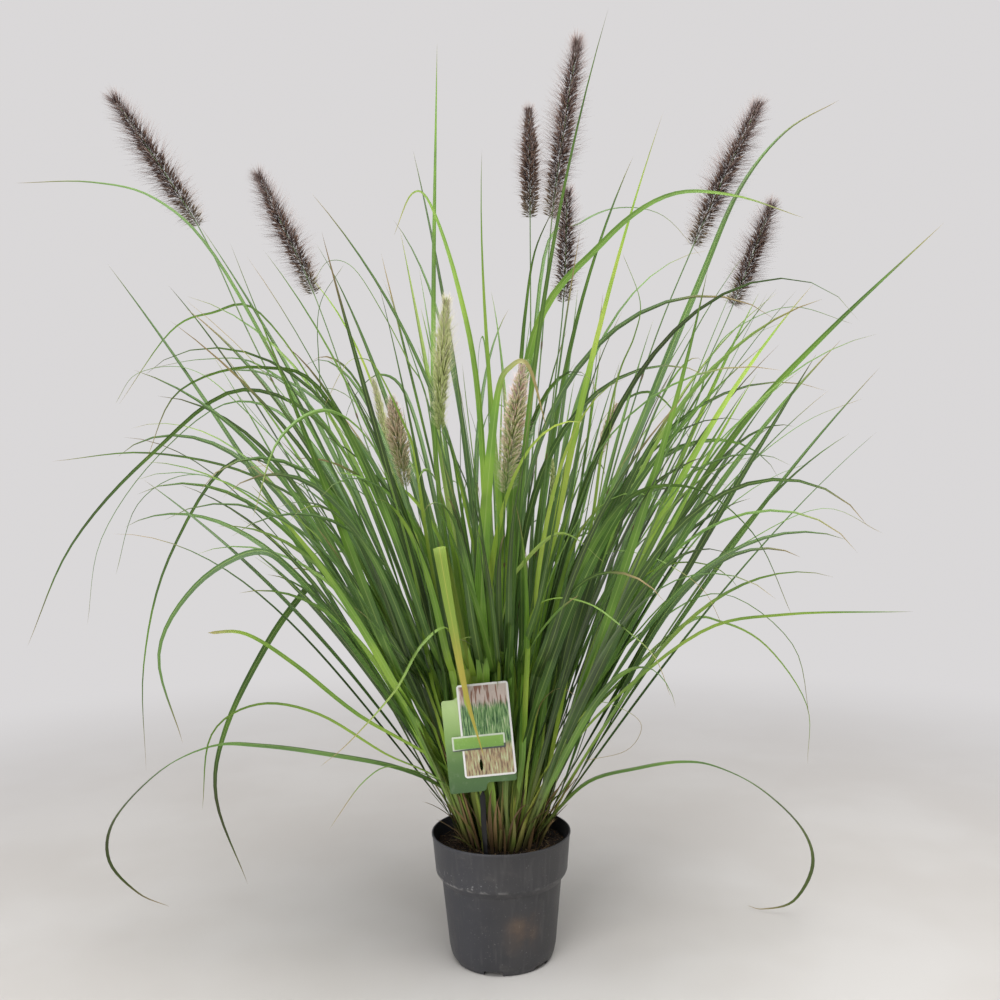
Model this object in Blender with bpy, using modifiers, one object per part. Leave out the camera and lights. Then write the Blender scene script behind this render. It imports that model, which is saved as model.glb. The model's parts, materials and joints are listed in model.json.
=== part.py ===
"""Potted fountain grass clump: a nursery pot of soil with a crown of tillers, single leaves,
flower culms with bottle-brush spikes, and a plant label on a stake.

Metres, +Z up. The origin is the middle of the pot's underside, which stands on z = 0.
The label faces -Y, and +X is to its right.
"""
import math

import bmesh
import bpy
from mathutils import Matrix, Vector

GAP = 0.0003                 # clearance kept between neighbouring solids
SEAM = 0.000001              # points closer than this are one

# Pot
POT_HEIGHT = 0.172
RIM_RADIUS = 0.0955
COLLAR_HEIGHT = 0.053        # plain band below the rim
COLLAR_FOOT_RADIUS = 0.0903
CHAMFER_HEIGHT = 0.010       # sloping step under the band
BODY_RADIUS = 0.0822         # at the foot of that step
HEEL_RADIUS = 0.0733         # where the wall starts to curve in to the foot
HEEL_HEIGHT = 0.020
FOOT_RADIUS = 0.0665
HEEL_CURVE = (0.0028, 0.007)  # in from the heel, and height, of the curve's middle
WALL = 0.0014
LIP = 0.0022                 # wall thickness at the rim
LIP_HEIGHT = 0.004           # down from the top to where the rim is no thicker than the wall
LIP_ROUND = 0.001
LIP_STEP = 0.0008            # how far the lip stands out from the band
FLOOR_RISE = 0.004           # the floor between foot and pad is lifted by this much
FLOOR_TOP = 0.0055
FLOOR_CORNER = 0.0032        # the floor's edge lies this far in from the wall's heel
FOOT_WIDTH = 0.008
FOOT_SLOPE = 0.001           # foot ring and pad widen by this much towards the floor
PAD_RADIUS = 0.027           # flat pad in the middle of the underside
POT_STEPS = 40
NOTCH_COUNT = 6
NOTCH_WIDTH = 0.026
NOTCH_HEIGHT = 0.0068
NOTCH_REACH = 0.030          # length of a notch cutter along the pot's radius
FIRST_NOTCH_DEG = -101.0
DRAIN_COUNT = 6
DRAIN_RADIUS = 0.0045
DRAIN_CIRCLE = 0.044
DRAIN_REACH = 0.030          # height of a drain cutter

# Soil and crown
SOIL_TOP = 0.155
SOIL_DOME = 0.003            # the soil's middle stands this much above its edge
SOIL_RINGS = ((0.0, 1.0), (0.05, 0.8), (0.075, 0.0))   # radius, share of the dome
SOIL_EDGE_DROP = 0.002
BUNDLE_FLUTES = 18
FLUTE_DEPTH = 0.0025
BUNDLE_RINGS = ((0.048, 0.1590), (0.055, 0.195), (0.064, 0.235), (0.068, 0.250), (0.052, 0.266))
BUNDLE_TOP = 0.272

# Leaves and culms
LEAF_THICKNESS = 0.0012
LEAF_THINNING = 0.6          # share of its thickness that a leaf loses by its tip
LEAF_BASE_WIDTH = 0.72       # share of its greatest width
LEAF_WIDEST_AT = 0.45        # share of its length
LEAF_TAPER_POWER = 1.7
LEAF_LEAST_WIDTH = 0.08
LEAF_FOLD = 0.30             # rise of each half of the V as a share of its half width
STEPS_PER_SPAN = 2           # sections between two points of a leaf's route
CULM_RADIUS = 0.0013
CULM_THINNING = 0.3          # share of its radius that a culm loses by its spike
CULM_STEPS = 7
CULM_CURVE_STEPS = 8         # sections between two points of a culm's route
SPIKE_SECTIONS = ((0.00, 0.006), (0.07, 0.019), (0.25, 0.028), (0.55, 0.030), (0.82, 0.025),
                  (0.95, 0.015), (1.00, 0.004))   # share of its length, radius out to the bristle tips
YOUNG_SPIKE = 0.60           # young spikes, whose bristles lie close, are this much as thick

# Plant label
LABEL_TURN = math.radians(4.5)
STAKE_FOOT = (-0.0175, -0.0735)
STAKE_SIZE = (0.009, 0.0022, 0.132)
STAKE_CHAMFER = 0.0005
STAKE_LIFT = 0.6             # the stake stands above the soil's edge by this share of the dome
BACK_CARD = (0.094, 0.124)
BACK_MIDDLE = (-0.0235, 0.3115)      # x and z
PICTURE_CARD = (0.071, 0.124)
PICTURE_MIDDLE = (-0.0135, 0.3305)
CARD_THICKNESS = 0.0010
CARD_CORNER = 0.004
SHOULDER = (0.015, 0.012)    # the step cut out of the backing card's upper left corner

# Leaf routes: width, then points from the crown to the tip.
LEAVES = {
    "leaf_left_high": (0.007, (-0.066, -0.002, 0.280), (-0.14, 0.0, 0.50), (-0.27, -0.01, 0.77),
                       (-0.37, -0.03, 0.96), (-0.44, -0.05, 1.03), (-0.52, -0.06, 1.05),
                       (-0.62, -0.06, 1.05)),
    "leaf_left_hook": (0.006, (-0.045, 0.036, 0.280), (-0.11, 0.06, 0.42), (-0.23, 0.10, 0.73),
                       (-0.35, 0.14, 0.91), (-0.43, 0.16, 0.915), (-0.50, 0.18, 0.89), (-0.59, 0.20, 0.78)),
    "leaf_left_back": (0.006, (-0.055, 0.052, 0.275), (-0.12, 0.09, 0.42), (-0.26, 0.20, 0.73),
                       (-0.39, 0.30, 0.85), (-0.50, 0.36, 0.87), (-0.61, 0.40, 0.86)),
    "leaf_left_front": (0.007, (-0.050, -0.034, 0.282), (-0.10, -0.06, 0.49), (-0.20, -0.14, 0.75),
                        (-0.27, -0.20, 0.79), (-0.35, -0.25, 0.76), (-0.38, -0.28, 0.68)),
    "leaf_left_level": (0.006, (-0.074, -0.014, 0.270), (-0.12, -0.01, 0.39), (-0.22, 0.02, 0.58),
                        (-0.34, 0.04, 0.665), (-0.49, 0.05, 0.70), (-0.63, 0.05, 0.69)),
    "leaf_left_long": (0.007, (-0.058, -0.021, 0.281), (-0.10, -0.03, 0.45), (-0.20, -0.06, 0.70),
                       (-0.32, -0.09, 0.775), (-0.44, -0.10, 0.69), (-0.54, -0.10, 0.58),
                       (-0.60, -0.10, 0.45)),
    "leaf_left_trailing": (0.006, (-0.062, 0.031, 0.278), (-0.12, 0.05, 0.42), (-0.26, 0.10, 0.70),
                           (-0.39, 0.15, 0.78), (-0.53, 0.20, 0.70), (-0.63, 0.22, 0.57),
                           (-0.66, 0.23, 0.43)),
    "leaf_left_hanging": (0.005, (-0.074, 0.019, 0.270), (-0.14, 0.03, 0.41), (-0.26, 0.08, 0.62),
                          (-0.39, 0.13, 0.69), (-0.51, 0.18, 0.54), (-0.56, 0.20, 0.37), (-0.56, 0.20, 0.20)),
    "leaf_left_broad": (0.010, (-0.085, -0.030, 0.262), (-0.19, -0.035, 0.43), (-0.27, -0.04, 0.535),
                        (-0.32, -0.05, 0.565), (-0.40, -0.05, 0.52), (-0.45, -0.05, 0.43),
                        (-0.42, -0.05, 0.31)),
    "leaf_left_low": (0.010, (-0.066, -0.026, 0.228), (-0.13, -0.04, 0.27), (-0.23, -0.05, 0.295),
                      (-0.32, -0.04, 0.305), (-0.39, -0.02, 0.30), (-0.47, 0.0, 0.26), (-0.55, 0.04, 0.18),
                      (-0.57, 0.07, 0.11), (-0.54, 0.10, 0.05), (-0.50, 0.12, 0.02)),
    "leaf_left_low_arch": (0.007, (-0.073, -0.044, 0.248), (-0.15, -0.07, 0.30), (-0.23, -0.10, 0.36),
                           (-0.30, -0.13, 0.38), (-0.35, -0.16, 0.35), (-0.36, -0.17, 0.26)),
    "leaf_left_blunt": (0.009, (-0.062, -0.051, 0.264), (-0.18, -0.09, 0.355), (-0.25, -0.14, 0.43),
                        (-0.30, -0.18, 0.475), (-0.34, -0.20, 0.48)),
    "leaf_left_folded": (0.009, (-0.082, 0.004, 0.260), (-0.18, 0.05, 0.375), (-0.26, 0.085, 0.49),
                         (-0.272, 0.09, 0.503), (-0.284, 0.092, 0.495), (-0.34, 0.10, 0.42),
                         (-0.41, 0.12, 0.29), (-0.43, 0.13, 0.18), (-0.39, 0.15, 0.04)),
    "leaf_right_low": (0.010, (0.066, -0.018, 0.192), (0.12, -0.01, 0.24), (0.19, 0.0, 0.255),
                       (0.25, 0.01, 0.26), (0.30, 0.02, 0.25), (0.37, 0.04, 0.21), (0.43, 0.05, 0.15),
                       (0.45, 0.065, 0.09), (0.43, 0.095, 0.025), (0.39, 0.115, 0.005), (0.37, 0.13, 0.004)),
    "leaf_right_hook": (0.006, (0.076, 0.022, 0.262), (0.14, 0.04, 0.335), (0.27, 0.08, 0.44),
                        (0.33, 0.10, 0.44), (0.40, 0.115, 0.40), (0.46, 0.12, 0.31), (0.46, 0.12, 0.22)),
    "leaf_right_level": (0.006, (0.077, -0.030, 0.262), (0.14, -0.05, 0.35), (0.26, -0.09, 0.455),
                         (0.36, -0.12, 0.48), (0.51, -0.15, 0.485)),
    "leaf_right_straight": (0.008, (0.088, 0.0, 0.266), (0.23, 0.0, 0.56), (0.33, -0.02, 0.72),
                            (0.44, -0.04, 0.84), (0.59, -0.06, 0.98)),
    "leaf_right_tall": (0.007, (0.055, 0.022, 0.278), (0.10, 0.03, 0.48), (0.22, 0.06, 0.76),
                        (0.30, 0.08, 0.94), (0.36, 0.09, 1.07), (0.43, 0.10, 1.155), (0.51, 0.10, 1.20)),
    "leaf_right_front": (0.008, (0.014, -0.053, 0.281), (0.02, -0.08, 0.60), (0.05, -0.15, 0.83),
                         (0.13, -0.19, 0.93), (0.20, -0.22, 0.975), (0.27, -0.24, 0.97), (0.35, -0.25, 0.94)),
    "leaf_right_back": (0.007, (0.015, 0.052, 0.281), (0.04, 0.09, 0.62), (0.08, 0.20, 1.00),
                        (0.14, 0.25, 1.065), (0.21, 0.29, 1.10), (0.29, 0.33, 1.095), (0.36, 0.36, 1.03)),
    "leaf_centre_upright": (0.007, (-0.020, 0.0, 0.284), (-0.05, 0.0, 0.45), (-0.08, 0.0, 0.68),
                            (-0.08, 0.0, 0.91), (-0.07, 0.0, 1.25)),
    "leaf_centre_arch": (0.008, (-0.010, -0.020, 0.284), (-0.01, -0.03, 0.48), (-0.02, -0.03, 0.76),
                         (-0.045, -0.035, 0.91), (-0.08, -0.035, 1.02), (-0.105, -0.035, 1.035),
                         (-0.13, -0.035, 0.98)),
    "leaf_front_folded": (0.009, (-0.018, -0.052, 0.281), (-0.02, -0.068, 0.40), (-0.02, -0.13, 0.50),
                          (-0.01, -0.20, 0.63), (0.005, -0.24, 0.75), (0.02, -0.25, 0.78),
                          (0.04, -0.25, 0.78), (0.06, -0.235, 0.71)),
    "leaf_front_hanging": (0.011, (-0.038, -0.048, 0.278), (-0.045, -0.064, 0.40), (-0.058, -0.10, 0.50),
                           (-0.068, -0.124, 0.562), (-0.070, -0.131, 0.570), (-0.069, -0.138, 0.562),
                           (-0.055, -0.130, 0.47), (-0.040, -0.115, 0.38), (-0.020, -0.100, 0.30)),
    "leaf_front_left": (0.008, (-0.054, -0.044, 0.274), (-0.085, -0.075, 0.39), (-0.10, -0.14, 0.54),
                        (-0.13, -0.23, 0.68), (-0.17, -0.31, 0.73), (-0.21, -0.38, 0.70),
                        (-0.23, -0.42, 0.62)),
    "leaf_front_right": (0.008, (0.045, -0.050, 0.272), (0.08, -0.12, 0.48), (0.14, -0.23, 0.62),
                         (0.20, -0.33, 0.645), (0.25, -0.40, 0.60), (0.28, -0.43, 0.52)),
    "leaf_back_left": (0.007, (-0.030, 0.066, 0.270), (-0.08, 0.16, 0.55), (-0.14, 0.28, 0.78),
                       (-0.20, 0.37, 0.84), (-0.26, 0.44, 0.80), (-0.29, 0.48, 0.72)),
    "leaf_back_middle": (0.007, (0.0, 0.070, 0.270), (0.0, 0.15, 0.55), (-0.01, 0.26, 0.80),
                         (-0.02, 0.36, 0.90), (-0.03, 0.44, 0.87), (-0.03, 0.50, 0.78)),
    "leaf_back_right": (0.007, (0.036, 0.068, 0.270), (0.10, 0.14, 0.52), (0.18, 0.25, 0.74),
                        (0.26, 0.34, 0.80), (0.33, 0.41, 0.75), (0.37, 0.45, 0.66)),
    "leaf_back_low": (0.008, (0.020, 0.080, 0.245), (0.03, 0.16, 0.36), (0.05, 0.28, 0.45),
                      (0.07, 0.38, 0.44), (0.09, 0.45, 0.36), (0.10, 0.49, 0.26)),
}

# Culm routes: length of the spike at the end, whether it is young, then points to the spike's tip.
CULMS = {
    "left_high": (0.20, False, (-0.050, 0.013, 0.283), (-0.12, 0.02, 0.43), (-0.27, 0.02, 0.72),
                  (-0.34, 0.02, 0.865), (-0.405, 0.02, 1.01), (-0.51, 0.0, 1.18)),
    "left_low": (0.20, False, (-0.034, 0.022, 0.284), (-0.08, 0.05, 0.42), (-0.18, 0.08, 0.69),
                 (-0.26, 0.10, 0.925), (-0.345, 0.12, 1.11)),
    "centre_left": (0.157, False, (0.010, 0.020, 0.286), (0.03, 0.04, 0.48), (0.05, 0.06, 0.76),
                    (0.055, 0.07, 1.03), (0.056, 0.08, 1.185)),
    "centre_tall": (0.252, False, (0.015, 0.001, 0.287), (0.03, 0.0, 0.48), (0.065, 0.0, 0.83),
                    (0.085, 0.0, 1.03), (0.122, 0.02, 1.255)),
    "centre_right": (0.135, False, (0.018, -0.021, 0.286), (0.045, -0.04, 0.49), (0.075, -0.08, 0.75),
                     (0.09, -0.10, 0.88), (0.095, -0.12, 1.01)),
    "right_high": (0.22, False, (0.036, 0.0, 0.285), (0.09, 0.0, 0.43), (0.20, 0.0, 0.785),
                   (0.275, 0.0, 0.97), (0.37, 0.02, 1.165)),
    "right_low": (0.17, False, (0.038, 0.040, 0.282), (0.12, 0.06, 0.42), (0.28, 0.11, 0.75),
                  (0.36, 0.14, 0.91), (0.425, 0.16, 1.065)),
    "young_green": (0.165, True, (-0.024, -0.034, 0.283), (-0.036, -0.06, 0.44), (-0.053, -0.08, 0.60),
                    (-0.069, -0.10, 0.72), (-0.057, -0.12, 0.88)),
    "young_pink": (0.158, True, (-0.002, -0.044, 0.283), (0.003, -0.073, 0.42), (0.010, -0.12, 0.55),
                   (0.012, -0.15, 0.635), (0.035, -0.18, 0.79)),
    "young_brown": (0.132, True, (-0.020, 0.040, 0.281), (-0.068, 0.04, 0.42), (-0.103, 0.05, 0.535),
                    (-0.128, 0.06, 0.643), (-0.148, 0.07, 0.775)),
    "young_pale": (0.165, True, (-0.036, 0.054, 0.277), (-0.086, 0.10, 0.41), (-0.125, 0.14, 0.53),
                   (-0.152, 0.17, 0.655), (-0.19, 0.20, 0.815)),
    "young_furled": (0.10, True, (0.052, 0.050, 0.274), (0.09, 0.08, 0.41), (0.124, 0.10, 0.56),
                     (0.15, 0.12, 0.675), (0.183, 0.14, 0.765)),
}


def clear_scene():
    """Remove whatever the scene starts with."""
    for obj in list(bpy.data.objects):
        bpy.data.objects.remove(obj, do_unlink=True)


def new_collection(name):
    """A collection under the scene's own."""
    collection = bpy.data.collections.new(name)
    bpy.context.scene.collection.children.link(collection)
    return collection


def new_material(name, colour, roughness):
    """A plain Principled material."""
    material = bpy.data.materials.new(name)
    material.use_nodes = True
    shader = material.node_tree.nodes["Principled BSDF"]
    shader.inputs["Base Color"].default_value = (*colour, 1.0)
    shader.inputs["Roughness"].default_value = roughness
    return material


def add_object(name, data, collection, material=None):
    """Put mesh or curve data in the scene under a name."""
    obj = bpy.data.objects.new(name, data)
    collection.objects.link(obj)
    if material:
        data.materials.append(material)
    return obj


def mesh_from(bm, name):
    """Close a bmesh off as mesh data whose faces point outwards."""
    bmesh.ops.recalc_face_normals(bm, faces=bm.faces)
    mesh = bpy.data.meshes.new(name)
    bm.to_mesh(mesh)
    bm.free()
    return mesh


def turned(name, profile, steps, collection, material):
    """Turn an open (radius, height) profile about the Z axis."""
    mesh = bpy.data.meshes.new(name)
    points = [(radius, 0.0, height) for radius, height in profile]
    mesh.from_pydata(points, [(i, i + 1) for i in range(len(points) - 1)], [])
    obj = add_object(name, mesh, collection, material)
    screw = obj.modifiers.new("turn", "SCREW")
    screw.steps = steps
    screw.render_steps = steps
    screw.use_merge_vertices = True
    screw.merge_threshold = 0.00005
    screw.use_smooth_shade = True
    return obj


def cut(obj, cutter):
    """Boolean difference with an exact solver."""
    cutter.hide_render = True
    cutter.display_type = "WIRE"
    boolean = obj.modifiers.new("cut " + cutter.name, "BOOLEAN")
    boolean.operation = "DIFFERENCE"
    boolean.solver = "EXACT"
    boolean.object = cutter


# Routes ------------------------------------------------------------------------------------

def smooth_route(points, steps):
    """Points along a smooth curve through the route, with the same number of steps in each span."""
    knots = [Vector(p) for p in points]
    knots = [2 * knots[0] - knots[1], *knots, 2 * knots[-1] - knots[-2]]
    route = []
    for before, start, end, after in zip(knots, knots[1:], knots[2:], knots[3:]):
        for step in range(steps):
            t = step / steps
            route.append(0.5 * (2 * start + (end - before) * t
                                + (2 * before - 5 * start + 4 * end - after) * t ** 2
                                + (3 * start - before - 3 * end + after) * t ** 3))
    route.append(knots[-2])
    return route


def lengths_along(route):
    """Distance from the start to each point of a route."""
    reached = [0.0]
    for a, b in zip(route, route[1:]):
        reached.append(reached[-1] + (b - a).length)
    return reached


def point_at(route, reached, distance):
    """The point at this distance along a route."""
    for i, (a, b) in enumerate(zip(route, route[1:])):
        if distance <= reached[i + 1]:
            return a.lerp(b, (distance - reached[i]) / (reached[i + 1] - reached[i]))
    return route[-1].copy()


def even_route(route, first, last, steps):
    """Evenly spaced points of a route between two distances."""
    reached = lengths_along(route)
    return [point_at(route, reached, first + (last - first) * i / steps) for i in range(steps + 1)]


def frames_along(route):
    """A matrix at each point: X across the blade, Y out of its upper side, Z along the route."""
    heading = route[-1] - route[0]
    across = Vector((heading.y, -heading.x, 0.0)).normalized()
    frames = []
    for i, point in enumerate(route):
        ahead = route[min(i + 1, len(route) - 1)]
        behind = route[max(i - 1, 0)]
        along = (ahead - behind).normalized()
        across = (across - along * across.dot(along)).normalized()
        upper = along.cross(across)
        frame = Matrix((across, upper, along)).transposed().to_4x4()
        frame.translation = point
        frames.append(frame)
    return frames


# Pieces --------------------------------------------------------------------------------------

def pot(collection, cutters, material):
    """Thin-walled pot: collar, tapered body, foot ring, raised floor and a flat middle pad."""
    collar_foot = POT_HEIGHT - COLLAR_HEIGHT
    lip_foot = POT_HEIGHT - LIP_HEIGHT
    heel_in, heel_rise = HEEL_CURVE
    ring_inside = FOOT_RADIUS - FOOT_WIDTH
    outside = [
        (RIM_RADIUS - LIP, POT_HEIGHT - LIP_ROUND / 2), (RIM_RADIUS - LIP_ROUND, POT_HEIGHT),
        (RIM_RADIUS, POT_HEIGHT - LIP_ROUND), (RIM_RADIUS, lip_foot + LIP_ROUND),
        (RIM_RADIUS - LIP_STEP, lip_foot), (COLLAR_FOOT_RADIUS, collar_foot),
        (BODY_RADIUS, collar_foot - CHAMFER_HEIGHT), (HEEL_RADIUS, HEEL_HEIGHT),
        (HEEL_RADIUS - heel_in, heel_rise), (FOOT_RADIUS, 0.0), (ring_inside, 0.0),
        (ring_inside - FOOT_SLOPE, FLOOR_RISE), (PAD_RADIUS + FOOT_SLOPE, FLOOR_RISE),
        (PAD_RADIUS, 0.0), (0.0, 0.0),
    ]
    inside = [(0.0, FLOOR_TOP), *reversed(inner_wall(WALL, 0.0)), (RIM_RADIUS - LIP, lip_foot)]
    body = turned("pot", outside + inside + outside[:1], POT_STEPS, collection, material)
    for i in range(NOTCH_COUNT):
        angle = math.radians(FIRST_NOTCH_DEG + 360.0 * i / NOTCH_COUNT)
        bm = bmesh.new()
        bmesh.ops.create_cube(bm, size=1.0)
        bmesh.ops.scale(bm, verts=bm.verts, vec=(NOTCH_REACH, NOTCH_WIDTH, 2 * NOTCH_HEIGHT))
        bmesh.ops.translate(bm, verts=bm.verts, vec=(FOOT_RADIUS, 0.0, 0.0))
        bmesh.ops.rotate(bm, verts=bm.verts, matrix=Matrix.Rotation(angle, 3, "Z"))
        cut(body, add_object(f"notch_cutter_{i + 1}", mesh_from(bm, "notch"), cutters))
    for i in range(DRAIN_COUNT):
        angle = math.radians(FIRST_NOTCH_DEG + 360.0 * (i + 0.5) / DRAIN_COUNT)
        bm = bmesh.new()
        bmesh.ops.create_cone(bm, cap_ends=True, segments=10, radius1=DRAIN_RADIUS,
                              radius2=DRAIN_RADIUS, depth=DRAIN_REACH)
        place = (DRAIN_CIRCLE * math.cos(angle), DRAIN_CIRCLE * math.sin(angle), 0.0)
        bmesh.ops.translate(bm, verts=bm.verts, vec=place)
        cut(body, add_object(f"drain_cutter_{i + 1}", mesh_from(bm, "drain"), cutters))
    return body


def inner_wall(inset, lift):
    """The pot's inside from collar to floor, this far in from its outside and above its floor."""
    collar_foot = POT_HEIGHT - COLLAR_HEIGHT
    return [
        (COLLAR_FOOT_RADIUS - inset, collar_foot), (BODY_RADIUS - inset, collar_foot - CHAMFER_HEIGHT),
        (HEEL_RADIUS - inset, HEEL_HEIGHT), (HEEL_RADIUS - FLOOR_CORNER - inset, FLOOR_TOP + lift),
    ]


def soil(collection, material):
    """Compost that fills the pot to just below its rim."""
    clear = WALL + 3 * GAP
    profile = [(radius, SOIL_TOP + share * SOIL_DOME) for radius, share in SOIL_RINGS]
    profile.append((COLLAR_FOOT_RADIUS - clear, SOIL_TOP - SOIL_EDGE_DROP))
    profile += [*inner_wall(clear, GAP), (0.0, FLOOR_TOP + GAP)]
    return turned("soil", profile, POT_STEPS, collection, material)


def tiller_bundle(collection, material):
    """The crown: tightly packed sheaths, as one flared and fluted solid."""
    bm = bmesh.new()
    sides = 2 * BUNDLE_FLUTES
    base_radius, base_height = BUNDLE_RINGS[0]
    made = bmesh.ops.create_circle(bm, cap_ends=True, segments=sides, radius=base_radius)
    ring = sorted(made["verts"], key=lambda v: math.atan2(v.co.y, v.co.x))
    bmesh.ops.translate(bm, verts=ring, vec=(0.0, 0.0, base_height))
    for i, vertex in enumerate(ring):
        vertex.co.xy *= 1.0 - (i % 2) * FLUTE_DEPTH / base_radius
    edges = list(bm.edges)
    radius = base_radius
    for next_radius, height in BUNDLE_RINGS[1:]:
        made = bmesh.ops.extrude_edge_only(bm, edges=edges)["geom"]
        verts = [g for g in made if isinstance(g, bmesh.types.BMVert)]
        edges = [g for g in made if isinstance(g, bmesh.types.BMEdge)]
        for vertex in verts:
            vertex.co.xy *= next_radius / radius
            vertex.co.z = height
        radius = next_radius
    bmesh.ops.contextual_create(bm, geom=edges)
    top = max(bm.faces, key=lambda f: f.calc_center_median().z)
    middle = bmesh.ops.poke(bm, faces=[top])["verts"][0]
    middle.co.z = BUNDLE_TOP
    return add_object("tiller_bundle", mesh_from(bm, "tiller_bundle"), collection, material)


def blade_width(share):
    """Width of a blade at a share of its length, as a share of its greatest width."""
    opened = math.sin(min(share / LEAF_WIDEST_AT, 1.0) * math.pi / 2)
    swell = LEAF_BASE_WIDTH + (1.0 - LEAF_BASE_WIDTH) * opened
    past_widest = max(0.0, (share - LEAF_WIDEST_AT) / (1.0 - LEAF_WIDEST_AT))
    return max(swell * (1.0 - past_widest ** LEAF_TAPER_POWER), LEAF_LEAST_WIDTH)


def leaf(name, width, points, collection, material):
    """A blade with a shallow V section: a grid rolled into a closed tube along its route."""
    route = smooth_route(points, STEPS_PER_SPAN)
    reached = lengths_along(route)
    frames = frames_along(route)
    rows = len(route) - 1
    bm = bmesh.new()
    bmesh.ops.create_grid(bm, x_segments=4, y_segments=rows, size=1.0)
    for vertex in bm.verts:
        corner = round(2.0 * (vertex.co.x + 1.0)) % 4
        row = round(rows * (vertex.co.y + 1.0) / 2.0)
        share = reached[row] / reached[-1]
        half = width * blade_width(share) / 2
        rise = LEAF_FOLD * half
        thick = LEAF_THICKNESS * (1.0 - LEAF_THINNING * share)
        section = ((-half, rise), (0.0, -thick / 2), (half, rise), (0.0, thick / 2))
        vertex.co = frames[row] @ Vector((*section[corner], 0.0))
    bmesh.ops.remove_doubles(bm, verts=bm.verts, dist=SEAM)
    bmesh.ops.holes_fill(bm, edges=bm.edges, sides=4)
    return add_object(name, mesh_from(bm, name), collection, material)


def tube(name, route, radii, sides_setting, collection, material):
    """A round rod with filled caps; radii has one value for each point of its route."""
    curve = bpy.data.curves.new(name, "CURVE")
    curve.dimensions = "3D"
    curve.bevel_depth = 1.0
    curve.bevel_resolution = sides_setting
    curve.use_fill_caps = True
    spline = curve.splines.new("POLY")
    spline.points.add(len(route) - 1)
    for point, place, radius in zip(spline.points, route, radii):
        point.co = (*place, 1.0)
        point.radius = radius
    return add_object(name, curve, collection, material)


def culm_and_spike(name, spike_length, young, points, collection, stem_material, spike_material):
    """A flower stem and the bottle-brush spike that its route ends in."""
    route = smooth_route(points, CULM_CURVE_STEPS)
    reached = lengths_along(route)
    split = reached[-1] - spike_length
    stem = even_route(route, 0.0, split - GAP, CULM_STEPS)
    taper = [CULM_RADIUS * (1.0 - CULM_THINNING * i / CULM_STEPS) for i in range(CULM_STEPS + 1)]
    tube(f"culm_{name}", stem, taper, 1, collection, stem_material)
    slim = YOUNG_SPIKE if young else 1.0
    spike = [point_at(route, reached, split + share * spike_length) for share, _ in SPIKE_SECTIONS]
    tube(f"spike_{name}", spike, [slim * radius for _, radius in SPIKE_SECTIONS], 2,
         collection, spike_material)


def card_outline(width, height, shoulder=None):
    """Corners of a card about its own middle, clockwise from the lower left."""
    half_width = width / 2
    half_height = height / 2
    corners = [(-half_width, -half_height), (-half_width, half_height), (half_width, half_height),
               (half_width, -half_height)]
    if shoulder:
        step_x, step_y = shoulder
        corners[1:2] = [(-half_width, half_height - step_y), (step_x - half_width, half_height - step_y),
                        (step_x - half_width, half_height)]
    return corners


def card(name, outline, middle, collection, material):
    """A flat card with rounded corners, standing in the XZ plane and turned with the label."""
    bm = bmesh.new()
    face = bm.faces.new([bm.verts.new((x, 0.0, z)) for x, z in outline])
    bmesh.ops.bevel(bm, geom=list(face.verts), offset=CARD_CORNER, offset_type="OFFSET", segments=3,
                    profile=0.5, affect="VERTICES", material=-1)
    sheet = list(bm.faces)
    made = bmesh.ops.extrude_face_region(bm, geom=sheet, use_keep_orig=True)["geom"]
    raised = [g for g in made if isinstance(g, bmesh.types.BMVert)]
    bmesh.ops.translate(bm, verts=raised, vec=(0.0, CARD_THICKNESS, 0.0))
    bmesh.ops.rotate(bm, verts=bm.verts, matrix=Matrix.Rotation(-LABEL_TURN, 3, "Y"))
    bmesh.ops.translate(bm, verts=bm.verts, vec=middle)
    return add_object(name, mesh_from(bm, name), collection, material)


def label(collection, stake_material, back_material, picture_material):
    """A stake in the soil with a backing card and a picture card in front of it."""
    foot_x, foot_y = STAKE_FOOT
    width, thickness, height = STAKE_SIZE
    foot_z = SOIL_TOP + STAKE_LIFT * SOIL_DOME
    bm = bmesh.new()
    bmesh.ops.create_cube(bm, size=1.0)
    bmesh.ops.scale(bm, verts=bm.verts, vec=(width, thickness, height))
    upright = [e for e in bm.edges if abs(e.verts[0].co.z - e.verts[1].co.z) > height / 2]
    bmesh.ops.bevel(bm, geom=upright, offset=STAKE_CHAMFER, segments=1, profile=0.5, affect="EDGES",
                    material=-1)
    bmesh.ops.translate(bm, verts=bm.verts, vec=(foot_x, foot_y, foot_z + height / 2))
    add_object("label_stake", mesh_from(bm, "label_stake"), collection, stake_material)
    y = foot_y - thickness / 2
    cards = (("label_back_card", card_outline(*BACK_CARD, SHOULDER), BACK_MIDDLE, back_material),
             ("label_picture_card", card_outline(*PICTURE_CARD), PICTURE_MIDDLE, picture_material))
    for name, outline, (x, z), material in cards:
        y -= GAP + CARD_THICKNESS
        card(name, outline, (x, y, z), collection, material)


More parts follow.
